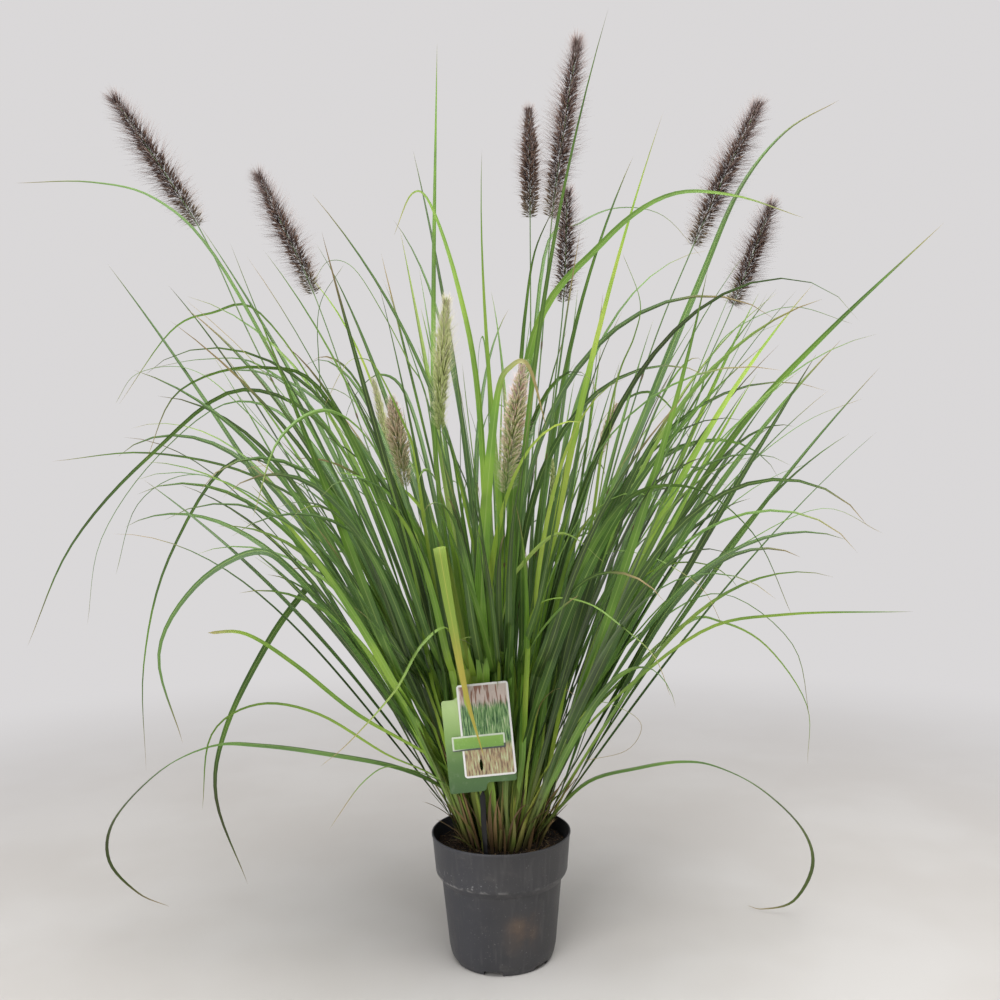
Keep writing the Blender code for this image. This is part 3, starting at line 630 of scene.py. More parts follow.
# %% Routes of the thirty leaves
LEAVES = {                   # greatest width and the points of the route, in millimetres
    "left_high": (7, (-66, -2, 280), (-140, 0, 500), (-270, -10, 770), (-370, -30, 960), (-440, -50, 1030),
        (-520, -60, 1050), (-620, -60, 1050)),
    "left_hook": (6, (-45, 36, 280), (-110, 60, 420), (-230, 100, 730), (-350, 140, 910), (-430, 160, 915),
        (-500, 180, 890), (-590, 200, 780)),
    "left_back": (6, (-55, 52, 275), (-120, 90, 420), (-260, 200, 730), (-390, 300, 850), (-500, 360, 870),
        (-610, 400, 860)),
    "left_front": (7, (-50, -34, 282), (-100, -60, 490), (-200, -140, 750), (-270, -200, 790),
        (-350, -250, 760), (-380, -280, 680)),
    "left_level": (6, (-74, -14, 270), (-120, -10, 390), (-220, 20, 580), (-340, 40, 665), (-490, 50, 700),
        (-630, 50, 690)),
    "left_long": (7, (-58, -21, 281), (-100, -30, 450), (-200, -60, 700), (-320, -90, 775),
        (-440, -100, 690), (-540, -100, 580), (-600, -100, 450)),
    "left_trailing": (6, (-62, 31, 278), (-120, 50, 420), (-260, 100, 700), (-390, 150, 780),
        (-530, 200, 700), (-630, 220, 570), (-660, 230, 430)),
    "left_hanging": (5, (-74, 19, 270), (-140, 30, 410), (-260, 80, 620), (-390, 130, 690),
        (-510, 180, 540), (-560, 200, 370), (-560, 200, 200)),
    "left_broad": (10, (-85, -30, 262), (-190, -35, 430), (-270, -40, 535), (-320, -50, 565),
        (-400, -50, 520), (-450, -50, 430), (-420, -50, 310)),
    "left_low": (10, (-66, -26, 228), (-130, -40, 270), (-230, -50, 295), (-320, -40, 305),
        (-390, -20, 300), (-470, 0, 260), (-550, 40, 180), (-570, 70, 110), (-540, 100, 50),
        (-500, 120, 20)),
    "left_low_arch": (7, (-73, -44, 248), (-150, -70, 300), (-230, -100, 360), (-300, -130, 380),
        (-350, -160, 350), (-360, -170, 260)),
    "left_blunt": (9, (-62, -51, 264), (-180, -90, 355), (-250, -140, 430), (-300, -180, 475),
        (-340, -200, 480)),
    "left_folded": (9, (-82, 4, 260), (-180, 50, 375), (-260, 85, 490), (-272, 90, 503), (-284, 92, 495),
        (-340, 100, 420), (-410, 120, 290), (-430, 130, 180), (-390, 150, 40)),
    "right_low": (10, (66, -18, 192), (120, -10, 240), (190, 0, 255), (250, 10, 260), (300, 20, 250),
        (370, 40, 210), (430, 50, 150), (450, 65, 90), (430, 95, 25), (390, 115, 5), (370, 130, 4)),
    "right_hook": (6, (76, 22, 262), (140, 40, 335), (270, 80, 440), (330, 100, 440), (400, 115, 400),
        (460, 120, 310), (460, 120, 220)),
    "right_level": (6, (77, -30, 262), (140, -50, 350), (260, -90, 455), (360, -120, 480),
        (510, -150, 485)),
    "right_straight": (8, (88, 0, 266), (230, 0, 560), (330, -20, 720), (440, -40, 840), (590, -60, 980)),
    "right_tall": (7, (55, 22, 278), (100, 30, 480), (220, 60, 760), (300, 80, 940), (360, 90, 1070),
        (430, 100, 1155), (510, 100, 1200)),
    "right_front": (8, (14, -53, 281), (20, -80, 600), (50, -150, 830), (130, -190, 930), (200, -220, 975),
        (270, -240, 970), (350, -250, 940)),
    "right_back": (7, (15, 52, 281), (40, 90, 620), (80, 200, 1000), (140, 250, 1065), (210, 290, 1100),
        (290, 330, 1095), (360, 360, 1030)),
    "centre_upright": (7, (-20, 0, 284), (-50, 0, 450), (-80, 0, 680), (-80, 0, 910), (-70, 0, 1250)),
    "centre_arch": (8, (-10, -20, 284), (-10, -30, 480), (-20, -30, 760), (-45, -35, 910), (-80, -35, 1020),
        (-105, -35, 1035), (-130, -35, 980)),
    "front_folded": (9, (-18, -52, 281), (-20, -68, 400), (-20, -130, 500), (-10, -200, 630),
        (5, -240, 750), (20, -250, 780), (40, -250, 780), (60, -235, 710)),
    "front_hanging": (11, (-38, -48, 278), (-45, -64, 400), (-58, -100, 500), (-68, -124, 562),
        (-70, -131, 570), (-69, -138, 562), (-55, -130, 470), (-40, -115, 380), (-20, -100, 300)),
    "front_left": (8, (-54, -44, 274), (-85, -75, 390), (-100, -140, 540), (-130, -230, 680),
        (-170, -310, 730), (-210, -380, 700), (-230, -420, 620)),
    "front_right": (8, (45, -50, 272), (80, -120, 480), (140, -230, 620), (200, -330, 645),
        (250, -400, 600), (280, -430, 520)),
    "back_left": (7, (-30, 66, 270), (-80, 160, 550), (-140, 280, 780), (-200, 370, 840), (-260, 440, 800),
        (-290, 480, 720)),
    "back_middle": (7, (0, 70, 270), (0, 150, 550), (-10, 260, 800), (-20, 360, 900), (-30, 440, 870),
        (-30, 500, 780)),
    "back_right": (7, (36, 68, 270), (100, 140, 520), (180, 250, 740), (260, 340, 800), (330, 410, 750),
        (370, 450, 660)),
    "back_low": (8, (20, 80, 245), (30, 160, 360), (50, 280, 450), (70, 380, 440), (90, 450, 360),
        (100, 490, 260)),
}
print(len(LEAVES), "leaves of the frame")

# %% Routes of the twelve flower stems
CULMS = {                    # length of the spike and the points of the route, in millimetres
    "left_high": (200, (-50, 13, 283), (-120, 20, 430), (-270, 20, 720), (-340, 20, 865), (-405, 20, 1010),
        (-510, 0, 1180)),
    "left_low": (200, (-34, 22, 284), (-80, 50, 420), (-180, 80, 690), (-260, 100, 925), (-345, 120, 1110)),
    "centre_left": (157, (10, 20, 286), (30, 40, 480), (50, 60, 760), (55, 70, 1030), (56, 80, 1185)),
    "centre_tall": (252, (15, 1, 287), (30, 0, 480), (65, 0, 830), (85, 0, 1030), (122, 20, 1255)),
    "centre_right": (135, (18, -21, 286), (45, -40, 490), (75, -80, 750), (90, -100, 880),
        (95, -120, 1010)),
    "right_high": (220, (36, 0, 285), (90, 0, 430), (200, 0, 785), (275, 0, 970), (370, 20, 1165)),
    "right_low": (170, (38, 40, 282), (120, 60, 420), (280, 110, 750), (360, 140, 910), (425, 160, 1065)),
    "young_green": (165, (-24, -34, 283), (-36, -60, 440), (-53, -80, 600), (-69, -100, 720),
        (-57, -120, 880)),
    "young_pink": (158, (-2, -44, 283), (3, -73, 420), (10, -120, 550), (12, -150, 635), (35, -180, 790)),
    "young_brown": (132, (-20, 40, 281), (-68, 40, 420), (-103, 50, 535), (-128, 60, 643), (-148, 70, 775)),
    "young_pale": (165, (-36, 54, 277), (-86, 100, 410), (-125, 140, 530), (-152, 170, 655),
        (-190, 200, 815)),
    "young_furled": (100, (52, 50, 274), (90, 80, 410), (124, 100, 560), (150, 120, 675), (183, 140, 765)),
}
print(len(CULMS), "flower stems of the frame")


# %% Curves through the points
def metres(lengths):
    """Lengths in millimetres, nested as they may be, in metres."""
    if isinstance(lengths, (tuple, list)):
        return [metres(length) for length in lengths]
    return lengths / 1000.0


LEAVES = {name: metres(row) for name, row in LEAVES.items()}
CULMS = {name: metres(row) for name, row in CULMS.items()}

ROOT_Z = 0.150               # routes start just under the soil's surface
ROOT_SPREAD = 0.55           # how far out a route starts, as a share of where it leaves the crown


def down_to_soil(points):
    """A frame route with its start in the soil, under the place where it leaves the crown."""
    x, y, _ = points[0]
    return [(ROOT_SPREAD * x, ROOT_SPREAD * y, ROOT_Z), *points]


def smooth_route(points, steps):
    """Points along a smooth curve through the route, with the same number of steps in each span."""
    knots = [Vector(p) for p in points]
    knots = [2 * knots[0] - knots[1], *knots, 2 * knots[-1] - knots[-2]]
    route = []
    for before, start, end, after in zip(knots, knots[1:], knots[2:], knots[3:]):
        for step in range(steps):
            t = step / steps
            route.append(0.5 * (2 * start + (end - before) * t
                                + (2 * before - 5 * start + 4 * end - after) * t ** 2
                                + (3 * start - before - 3 * end + after) * t ** 3))
    route.append(knots[-2])
    return route


def lengths_along(route):
    """Distance from the start to each point of a route."""
    reached = [0.0]
    for a, b in zip(route, route[1:]):
        reached.append(reached[-1] + (b - a).length)
    return reached


def point_at(route, reached, distance):
    """The point at this distance along a route."""
    for i, (a, b) in enumerate(zip(route, route[1:])):
        if distance <= reached[i + 1]:
            return a.lerp(b, (distance - reached[i]) / (reached[i + 1] - reached[i]))
    return route[-1].copy()


def part_of(route, first, last, steps):
    """Evenly spaced points of a route between two distances."""
    reached = lengths_along(route)
    return [point_at(route, reached, first + (last - first) * i / steps) for i in range(steps + 1)]


def frames_along(route, twist=0.0):
    """Directions at each point: across the blade, out of its upper side, and along it."""
    heading = route[-1] - route[0]
    across = Vector((heading.y, -heading.x, 0.0)).normalized()
    frames = []
    last = len(route) - 1
    for i, point in enumerate(route):
        along = (route[min(i + 1, last)] - route[max(i - 1, 0)]).normalized()
        across = (across - along * across.dot(along)).normalized()
        upper = along.cross(across)
        angle = twist * i / last
        frames.append((point, across * math.cos(angle) + upper * math.sin(angle),
                       upper * math.cos(angle) - across * math.sin(angle), along))
    return frames


# %% [markdown]
# ## One blade
#
# A grass blade is a ribbon folded down its middle into a shallow V, a third of a millimetre thick,
# that tapers to a hair. It could be a bare strip, but a strip has no edge and no underside. So each
# blade is a small grid rolled into a closed flat tube: eight points round, one ring for each step
# of its route, with the seam and both ends merged. Every point also carries numbers that the
# material reads: how far along and across the blade it is, which side it is on, and how dry and
# how green this blade is.

# %% Blade maker
# Across the blade from -1 to 1, and which face: 1 upper, 0 edge, -1 under.
BLADE_SECTION = ((-1.0, 0), (-0.5, 1), (0.0, 1), (0.5, 1), (1.0, 0), (0.5, -1), (0.0, -1), (-0.5, -1),
                 (-1.0, 0))
NUMBERS = ("along", "across", "under", "seed", "dry")


def new_strands():
    """An empty bmesh whose points will carry the numbers, and the layers that hold them."""
    bm = bmesh.new()
    return bm, [bm.verts.layers.float.new(word) for word in NUMBERS]


def roll_up(bm, layers, route, columns, section, seed, dry, twist):
    """Roll a grid into one closed tube along a route. The section says, for a column and a share of
    the length, how far out its point is each way, and its numbers across and under."""
    frames = frames_along(route, twist)
    reached = lengths_along(route)
    rows = len(route) - 1
    for vertex in bmesh.ops.create_grid(bm, x_segments=columns, y_segments=rows, size=1.0)["verts"]:
        column = round((vertex.co.x + 1.0) / 2.0 * columns)
        row = round((vertex.co.y + 1.0) / 2.0 * rows)
        point, across, upper, _ = frames[row]
        share = reached[row] / reached[-1]
        aside, rise, *numbers = section(column, share, row in (0, rows))
        vertex.co = point + across * aside + upper * rise
        for layer, number in zip(layers, (share, *numbers, seed, dry)):
            vertex[layer] = number


def strands_piece(bm, name, material, slot, *stands_for, crease=24.0):
    """Close the seams and ends of every tube, and make a finished piece of them all."""
    bmesh.ops.remove_doubles(bm, verts=bm.verts, dist=0.0000005)
    bmesh.ops.recalc_face_normals(bm, faces=bm.faces)
    return piece_from(name, mesh_from(bm, name, crease), material, slot, *stands_for)


def blade_width(share, tip):
    """Width along a blade as a share of its widest."""
    swell = 0.45 + 0.55 * math.sin(min(share / 0.38, 1.0) * math.pi / 2)
    taper = 1.0 - (1.0 - tip) * max(0.0, (share - 0.45) / 0.55) ** 1.5
    return swell * taper


def add_blade(bm, layers, route, width, seed, dry=0.0, twist=0.0, fold=0.3, thick=0.00035, tip=0.03):
    """One blade along a route: fold is how steep its V is, tip the width left at its end."""
    def section(column, share, at_end):
        a, side = BLADE_SECTION[column]
        half = 0.0 if at_end else 0.5 * width * blade_width(share, tip)
        thickness = 0.0 if at_end else thick * (1.0 + 0.7 * (a == 0.0))
        rise = fold * half * (0.75 * abs(a) + 0.25 * a * a) + 0.5 * side * thickness
        return a * half, rise, a, 0.5 - 0.5 * side

    roll_up(bm, layers, route, len(BLADE_SECTION) - 1, section, seed, dry, twist)


# %% Blade material
def blade_material(name, greens, pale, under_tone, dry_tone=(0.36, 0.25, 0.12)):
    """A green blade: veins, a pale rib, pale at the crown, darker low down by painted shade, straw-coloured
    at a dry tip.
    """
    material, tree = new_material(name, 0.45, 0.45)
    along, across, under, seed, dry = (attribute(tree, word) for word in NUMBERS)
    lines = use(tree, fine_lines, Across=across, Along=along, Seed=seed, Lines=7.0)
    shade = sum_of(tree, "MULTIPLY_ADD", blotched(tree, 9.0, 0.30, 0.70), 0.30,
                   sum_of(tree, "SUBTRACT", seed, 0.15))
    height = axes_of(tree, own_place(tree))["Z"]
    tone = layered(
        tree, ramp(tree, shade, *greens), (lines["Line"], 0.22, pale),
        (between(tree, under, 0.5, 0.56), 0.55, under_tone), (lines["Rib"], 0.45, pale),
        (between(tree, along, 0.20, 0.0), 0.55, (0.28, 0.33, 0.06)),
        # Painted shade: the blade darkens and browns low down near the crown, where the clump shades it; part
        # of it stands for soil dust and a brown tint at the foot.
        (between(tree, height, 0.27, 0.16), 0.62, (0.040, 0.026, 0.013)),
        (between(tree, sum_of(tree, "ADD", along, dry), 0.93, 1.05), 0.85, dry_tone))
    surface(tree, tone, (lines["Line"], 0.14, 0.36), (lines["Line"], 0.00012, 0.6))
    return material


leaf_green = blade_material(
    "leaf_green",
    ((0.0, (0.008, 0.028, 0.006)), (0.30, (0.030, 0.096, 0.010)), (0.58, (0.135, 0.290, 0.026)),
     (0.82, (0.300, 0.480, 0.046)), (1.0, (0.440, 0.560, 0.075))),
    (0.36, 0.50, 0.13), (0.105, 0.190, 0.066))
leaf_yellow = blade_material(
    "leaf_yellow", ((0.0, (0.17, 0.27, 0.030)), (0.5, (0.25, 0.37, 0.045)), (1.0, (0.33, 0.43, 0.060))),
    (0.52, 0.52, 0.10), (0.26, 0.38, 0.060), (0.46, 0.37, 0.055))
print(leaf_green.name, "and", leaf_yellow.name, "ready")

# %% [markdown]
# ## The thirty leaves of the frame
#
# These are the leaves that make the plant's outline: the ones that stand free of the clump, hang
# over to the floor or fold in front of the label. Each is a piece of its own and stands for one
# frame node. A few have something of their own, such as a torn-off tip, a yellower green or the
# brown of an old leaf.

# %% The thirty leaves
LEAF_STEPS = 6               # steps between two points of a leaf's route
LEAF_BREADTH = 1.15          # breadth shown, as a share of the route's width, if nothing else is said
LEAF_WAYS = {
    "front_hanging": {"seed": 0.6, "fold": 0.08, "dry": 0.20, "breadth": 1.7, "twist": 0.0},
    "front_folded": {"seed": 0.6, "breadth": 1.9, "dry": 0.12},
    "left_blunt": {"seed": 0.62, "tip": 0.5, "breadth": 0.75},
    "left_broad": {"seed": 0.35, "breadth": 1.3},
    "left_low": {"seed": 0.42, "dry": 0.04, "fold": 0.2, "twist": 0.6, "breadth": 1.2},
    "right_low": {"seed": 0.55, "dry": 0.05, "fold": 0.2, "twist": -0.6, "breadth": 1.2},
    "left_folded": {"seed": 0.3, "fold": 0.15, "breadth": 1.3},
    "centre_upright": {"seed": 0.5, "breadth": 1.5},
    "centre_arch": {"seed": 0.65, "breadth": 1.5},
    "right_straight": {"seed": 0.45, "breadth": 1.5},
    "right_tall": {"seed": 0.35, "breadth": 1.9},
    "right_front": {"seed": 0.5, "breadth": 1.5},
    "left_high": {"seed": 0.45, "breadth": 1.4},
}
dice = random.Random(20)
for name, (width, *points) in LEAVES.items():
    ways = {"seed": dice.uniform(0.25, 0.8), "dry": dice.uniform(0.0, 0.05),
            "twist": dice.choice((-1.0, 1.0)) * dice.uniform(1.0, 2.0)}
    ways.update(LEAF_WAYS.get(name, {}))
    breadth = ways.pop("breadth", LEAF_BREADTH)
    bm, layers = new_strands()
    add_blade(bm, layers, smooth_route(down_to_soil(points), LEAF_STEPS), breadth * width, **ways)
    material = leaf_yellow if name == "front_hanging" else leaf_green
    strands_piece(bm, "blade_" + name, material, "leaf_green", "leaf_" + name)

# %% [markdown]
# ## Leaves between them
#
# Some more leaves stand out from the clump, though the frame has no node for them: arches in front
# of the clump, long thin ones at its sides and a few kinked or curled ones. They share one piece.

# %% Further single leaves
FREE_LEAVES = (              # how it grows, its greatest width and its route, in millimetres
    ({"seed": 0.6}, 9, (-30, -20, 280), (-65, -30, 530), (-88, -30, 754), (-114, -30, 815),
     (-146, -30, 878), (-183, -40, 937), (-216, -40, 947), (-235, -50, 918)),
    ({"seed": 0.85, "dry": 0.06}, 9, (-40, -40, 280), (-85, -70, 550), (-101, -90, 684), (-116, -100, 732),
     (-145, -120, 795), (-163, -130, 807), (-182, -140, 797), (-207, -150, 746)),
    ({"seed": 0.9, "twist": 2.6}, 9, (0, -50, 300), (0, -90, 430), (15, -140, 522), (34, -170, 556),
     (65, -200, 587), (89, -220, 587), (124, -240, 557)),
    ({"seed": 0.8, "dry": 0.07}, 7, (30, -50, 280), (35, -100, 400), (42, -150, 488), (68, -180, 512),
     (107, -220, 510), (140, -250, 488), (173, -270, 457), (189, -280, 414)),
    ({"seed": 0.7, "dry": 0.12}, 5, (40, -40, 270), (75, -50, 420), (103, -70, 503), (139, -90, 557),
     (186, -110, 557), (226, -130, 538), (257, -140, 511), (275, -150, 472)),
    ({"seed": 0.5}, 10, (40, 0, 270), (120, 0, 450), (199, 0, 591), (274, 0, 751), (296, 0, 817),
     (333, 0, 857), (408, 0, 884), (491, 0, 859)),
    ({"seed": 0.7}, 10, (30, -30, 280), (70, -50, 440), (117, -70, 572), (137, -90, 697), (158, -100, 786),
     (177, -110, 832), (185, -110, 876), (165, -100, 939)),
    ({"seed": 0.45}, 12, (-5, -40, 280), (0, -60, 500), (13, -80, 682), (31, -90, 780), (40, -100, 860),
     (54, -100, 941), (83, -100, 1004)),
    ({"seed": 0.5}, 9, (-50, 0, 270), (-100, 0, 420), (-161, 0, 540), (-227, 0, 735), (-239, 0, 831),
     (-235, 0, 899), (-202, 0, 951)),
    ({"seed": 0.6}, 7, (-50, 20, 270), (-120, 30, 400), (-237, 50, 623), (-366, 60, 769), (-440, 70, 821),
     (-516, 80, 816), (-549, 80, 773)),
    ({"seed": 0.5}, 7, (-60, -20, 250), (-120, -40, 360), (-220, -60, 546), (-319, -80, 640),
     (-393, -90, 667), (-455, -100, 630), (-485, -100, 540)),
    ({"seed": 0.6, "dry": 0.05}, 7, (50, 20, 250), (120, 50, 380), (236, 60, 530), (350, 80, 655),
     (450, 90, 730), (540, 100, 765)),
    ({"seed": 0.65, "dry": 0.05}, 7, (50, -10, 240), (120, -30, 360), (219, -40, 485), (325, -50, 564),
     (428, -60, 610), (504, -70, 576)),
    ({"seed": 0.6, "dry": 0.08}, 6, (50, 10, 240), (120, 30, 360), (217, 40, 446), (322, 60, 486),
     (428, 80, 408), (456, 90, 288)),
    ({"seed": 0.9, "dry": 0.25}, 5, (30, -50, 220), (36, -62, 280), (48, -80, 348), (61, -90, 375),
     (80, -90, 385), (99, -100, 377)),
    ({"seed": 0.9, "dry": 0.3}, 3, (45, -30, 230), (70, -40, 280), (122, -60, 355), (159, -80, 355),
     (183, -90, 335), (162, -100, 306), (104, -110, 296)),
    ({"seed": 0.95, "dry": 0.1}, 6, (-36, -60, 280), (-45, -90, 400), (-62, -125, 470), (-94, -160, 454),
     (-123, -190, 406), (-173, -220, 354), (-204, -240, 331)),
    ({"seed": 0.6, "dry": 0.15}, 5, (-56, -56, 240), (-130, -100, 290), (-170, -125, 280),
     (-210, -160, 230)),
)
bm, layers = new_strands()
for ways, *lengths in FREE_LEAVES:
    width, *points = metres(lengths)
    add_blade(bm, layers, smooth_route(down_to_soil(points), LEAF_STEPS), LEAF_BREADTH * width, **ways)
strands_piece(bm, "single_blades", leaf_green, "leaf_green")

# %% [markdown]
# ## The rest of the foliage
#
# A clump this size has several hundred leaves. They aren't strewn about: a grass is a bundle of
# shoots, and each shoot bears its leaves by turns on one side and the other, the lowest first. So
# the shoots are set out over the crown like seeds in a sunflower, leaning out further the nearer
# they are to its edge, and each leaf starts on its shoot, leaves it at a small angle, and bends
# over more and more towards its tip. A leaf that would pass the frame's box, or hang in front of
# what has to be seen, is grown shorter.

# %% Shoots
SHOOT_COUNT = 58
CROWN_RADIUS = 0.050
OUTER_LEAN = math.radians(29.0)            # of the shoots at the crown's edge
GOLDEN_TURN = math.pi * (3.0 - math.sqrt(5.0))


def pointing(lean, heading):
    """A direction that leans from upright by one angle, towards the other."""
    return Vector((math.sin(lean) * math.cos(heading), math.sin(lean) * math.sin(heading), math.cos(lean)))


dice = random.Random(7)
shoots = []
for i in range(SHOOT_COUNT):
    out_share = math.sqrt((i + 0.5) / SHOOT_COUNT)
    angle = i * GOLDEN_TURN + dice.uniform(-0.25, 0.25)
    radius = CROWN_RADIUS * out_share
    lean = OUTER_LEAN * out_share + math.radians(dice.uniform(-3.0, 4.0))
    length = dice.uniform(0.11, 0.24)
    base = Vector((radius * math.cos(angle), radius * math.sin(angle), ROOT_Z))
    shoots.append((base, pointing(lean, angle + dice.uniform(-0.3, 0.3)), length, out_share))
print(len(shoots), "shoots")


# %% Keep leaves where they may be
BOX_MARGIN = 0.012
HALF_WIDTH = 0.53                          # of the clump at its middle
WIDER_BACK = 0.4                           # how much wider it gets with each metre towards the back
RIM_CLEARANCE = (0.085, 0.13, 0.19)        # inner and outer radius, and height, kept free at the rim
LABEL_FROM, LABEL_TO = -0.082, 0.034       # x of the label's sides
LABEL_BACK = -0.068
LABEL_TOP = 0.40
LABEL_EASE = 0.006                         # how gently the leaves are pushed back
DEEPEST = 0.034                            # they stand behind one another over this depth


def behind_label(route, deeper=0.0):
    """Hold a leaf gently behind the label, until it is high enough to lean over the label's top."""
    for point in route:
        aside = max(0.0, LABEL_FROM - point.x, point.x - LABEL_TO)
        nearest = LABEL_BACK + deeper - 2.0 * aside - 1.5 * max(0.0, point.z - LABEL_TOP)
        ahead = (nearest - point.y) / LABEL_EASE
        point.y += LABEL_EASE * (ahead if ahead > 30.0 else math.log1p(math.exp(ahead)))
    return route


# The hanging leaf and the young spikes stand free of other leaves at the front.
STAND_FREE = [(Vector((-0.070, -0.131, 0.570)), Vector((-0.052, -0.127, 0.440)), 0.017)]
for name in ("young_green", "young_pink", "young_brown"):
    spike_length, *points = CULMS[name]
    tip = Vector(points[-1])
    STAND_FREE.append((tip, tip + (Vector(points[-2]) - tip).normalized() * spike_length, 0.012))


def from_front(point):
    """Where a point appears from the front: sideways and up, at the depth of the pot's middle."""
    depth = camera.location.y / (camera.location.y - point.y)
    return point.x * depth, camera.location.z + (point.z - camera.location.z) * depth


def hides_front(point):
    """Whether a leaf here would hang in front of the hanging leaf or a young spike."""
    x, z = from_front(point)
    for tip, foot, half_width in STAND_FREE:
        tip_x, tip_z = from_front(tip)
        foot_x, foot_z = from_front(foot)
        share = (z - foot_z) / (tip_z - foot_z)
        middle = foot_x + (tip_x - foot_x) * share
        if point.y < tip.y and -0.1 < share < 1.05 and abs(x - middle) < half_width:
            return True
    return False


def stays_inside(route):
    """Whether a leaf keeps inside the frame's box, off the pot's rim and off what stands free."""
    halfway = [a.lerp(b, 0.5) for a, b in zip(route, route[1:])]
    if any(hides_front(point) for point in route + halfway):
        return False
    inner, outer, height = RIM_CLEARANCE
    for point in route:
        sides = zip(frame_low, point, frame_high)
        if any(not low + BOX_MARGIN <= here <= high - BOX_MARGIN for low, here, high in sides):
            return False
        if point.z < height and point.xy.length < outer and point.xy.length > inner:
            return False
        if abs(point.x) > HALF_WIDTH + WIDER_BACK * point.y:
            return False
    return True


print("leaves stay clear of", len(STAND_FREE), "things at the front")

# %% Grow the leaves
LEAF_ROWS = 22


def grown_route(start, direction, length, end_lean, power, drift):
    """A leaf's line: it leans over from its first direction to end_lean, late if power is high."""
    lean = math.acos(max(-1.0, min(1.0, direction.z)))
    heading = math.atan2(direction.y, direction.x)
    route = [start.copy()]
    for row in range(LEAF_ROWS):
        share = (row + 0.5) / LEAF_ROWS
        angle = lean + (end_lean - lean) * share ** power
        route.append(route[-1] + length / LEAF_ROWS * pointing(angle, heading + drift * share * share))
    return route


def grown_inside(start, direction, length, end_lean, power, drift, deeper):
    """The leaf, shortened until it keeps inside the frame's box; None if it can't."""
    for _ in range(8):
        route = behind_label(grown_route(start, direction, length, end_lean, power, drift), deeper)
        if stays_inside(route):
            return route
        length *= 0.88
        end_lean *= 0.94
    return None


leaves_grown = []
dice = random.Random(23)
for base, direction, length, out_share in shoots:
    plane = dice.uniform(0.0, math.pi)
    count = dice.randint(4, 6)
    for j in range(count):
        share = 0.30 + 0.70 * j / (count - 1)
        start = base + direction * (length * share)
        side = plane + math.pi * j + dice.uniform(-0.4, 0.4)
        spread = math.radians(dice.uniform(3.0, 15.0) * (1.15 - 0.6 * share))
        away = (direction + math.tan(spread) * Vector((math.cos(side), math.sin(side), 0.0))).normalized()
        upright = dice.random() < 0.52 + 0.28 * (1.0 - out_share) + 0.12 * (away.x > 0.15)
        if upright:
            end_lean = math.acos(away.z) + math.radians(dice.uniform(2.0, 38.0))
            leaf_length = dice.uniform(0.40, 0.86)
            power = dice.uniform(1.4, 2.8)
        else:
            end_lean = math.radians(dice.uniform(70.0, 160.0))
            leaf_length = dice.uniform(0.42, 0.88)
            power = dice.uniform(2.4, 4.2)
        deeper = DEEPEST * (GOLDEN_TURN * len(leaves_grown) % 1.0)
        route = grown_inside(start, away, leaf_length, end_lean, power, dice.uniform(-0.5, 0.5), deeper)
        if route is None:
            continue
        leaves_grown.append((
            [*behind_label([base.lerp(start, 0.25 + 0.35 * dice.random())], deeper), *route],
            dice.uniform(0.0065, 0.0125), dice.betavariate(1.2, 1.8),
            max(0.0, dice.gauss(0.0, 0.065)), dice.uniform(-2.4, 2.4)))
print(len(leaves_grown), "leaves grown")

# %% Join the foliage in six pieces
QUARTERS = ("right", "back_right", "back_left", "left", "front_left", "front_right")
for q, quarter in enumerate(QUARTERS):
    bm, layers = new_strands()
    for route, width, seed, dry, twist in leaves_grown:
        middle = route[len(route) // 2]
        turn = math.atan2(middle.y, middle.x) % (2.0 * math.pi)
        if int(turn / (2.0 * math.pi) * 6.0 + 0.5) % 6 == q:
            add_blade(bm, layers, route, width, seed, dry, twist, fold=0.28)
    strands_piece(bm, "foliage_" + quarter, leaf_green, "leaf_green")

# %% [markdown]
# ## The crown
#
# At the soil the leaves are still wrapped round one another in flattened shoots about a centimetre
# wide, green and straw-coloured above, purple-brown at the foot, with old dry sheaths peeling off
# between them. A shoot is a rod of oval section, rolled from a grid like a blade. The peeling
# sheaths are short wide blades that lean well out.

# %% Rod maker
ROD_CREASE = 60.0


def add_rod(bm, layers, route, radius_at, seed, dry=0.0, flat=1.0, sides=8, twist=0.0):
    """One rod along a route; flat squashes its section."""
    def section(column, share, at_end):
        radius = 0.0 if at_end else radius_at(share)
        angle = 2.0 * math.pi * (column % sides) / sides
        return radius * math.cos(angle), flat * radius * math.sin(angle), math.cos(angle), 0.0

    roll_up(bm, layers, route, sides, section, seed, dry, twist)


# %% Sheath material
sheath, tree = new_material("sheath_green", 0.5, 0.4)
along, across, _, seed, dry = (attribute(tree, word) for word in NUMBERS)
lines = use(tree, fine_lines, Across=across, Along=along, Seed=seed, Lines=5.0)
patches = blotched(tree, 28.0, 0.35, 0.65)
green = ramp(tree, seed, (0.0, (0.035, 0.090, 0.010)), (0.5, (0.120, 0.210, 0.020)),
             (1.0, (0.340, 0.370, 0.055)))
straw = ramp(tree, seed, (0.0, (0.090, 0.040, 0.022)), (0.5, (0.22, 0.120, 0.055)), (1.0, (0.46, 0.33, 0.17)))
withered = between(tree, sum_of(tree, "MULTIPLY_ADD", patches, 0.3, dry), 0.35, 0.75)
foot = between(tree, sum_of(tree, "MULTIPLY_ADD", patches, 0.15, along), 0.42, 0.10)
# Painted shade: the shoots darken low down in the crown, where they shade one another; part of it stands for
# soil dust and the brown tint at their feet.
shade_and_tint_low = between(tree, axes_of(tree, own_place(tree))["Z"], 0.235, 0.155)
tone = layered(tree, mixed(tree, withered, green, straw), (foot, 0.75, (0.070, 0.028, 0.022)),
               (lines["Line"], 0.25, (0.44, 0.42, 0.13)), (shade_and_tint_low, 0.5, (0.035, 0.020, 0.012)))
surface(tree, tone, (lines["Line"], 0.15, 0.42), (lines["Line"], 0.0003, 0.8))
print(sheath.name, "ready")

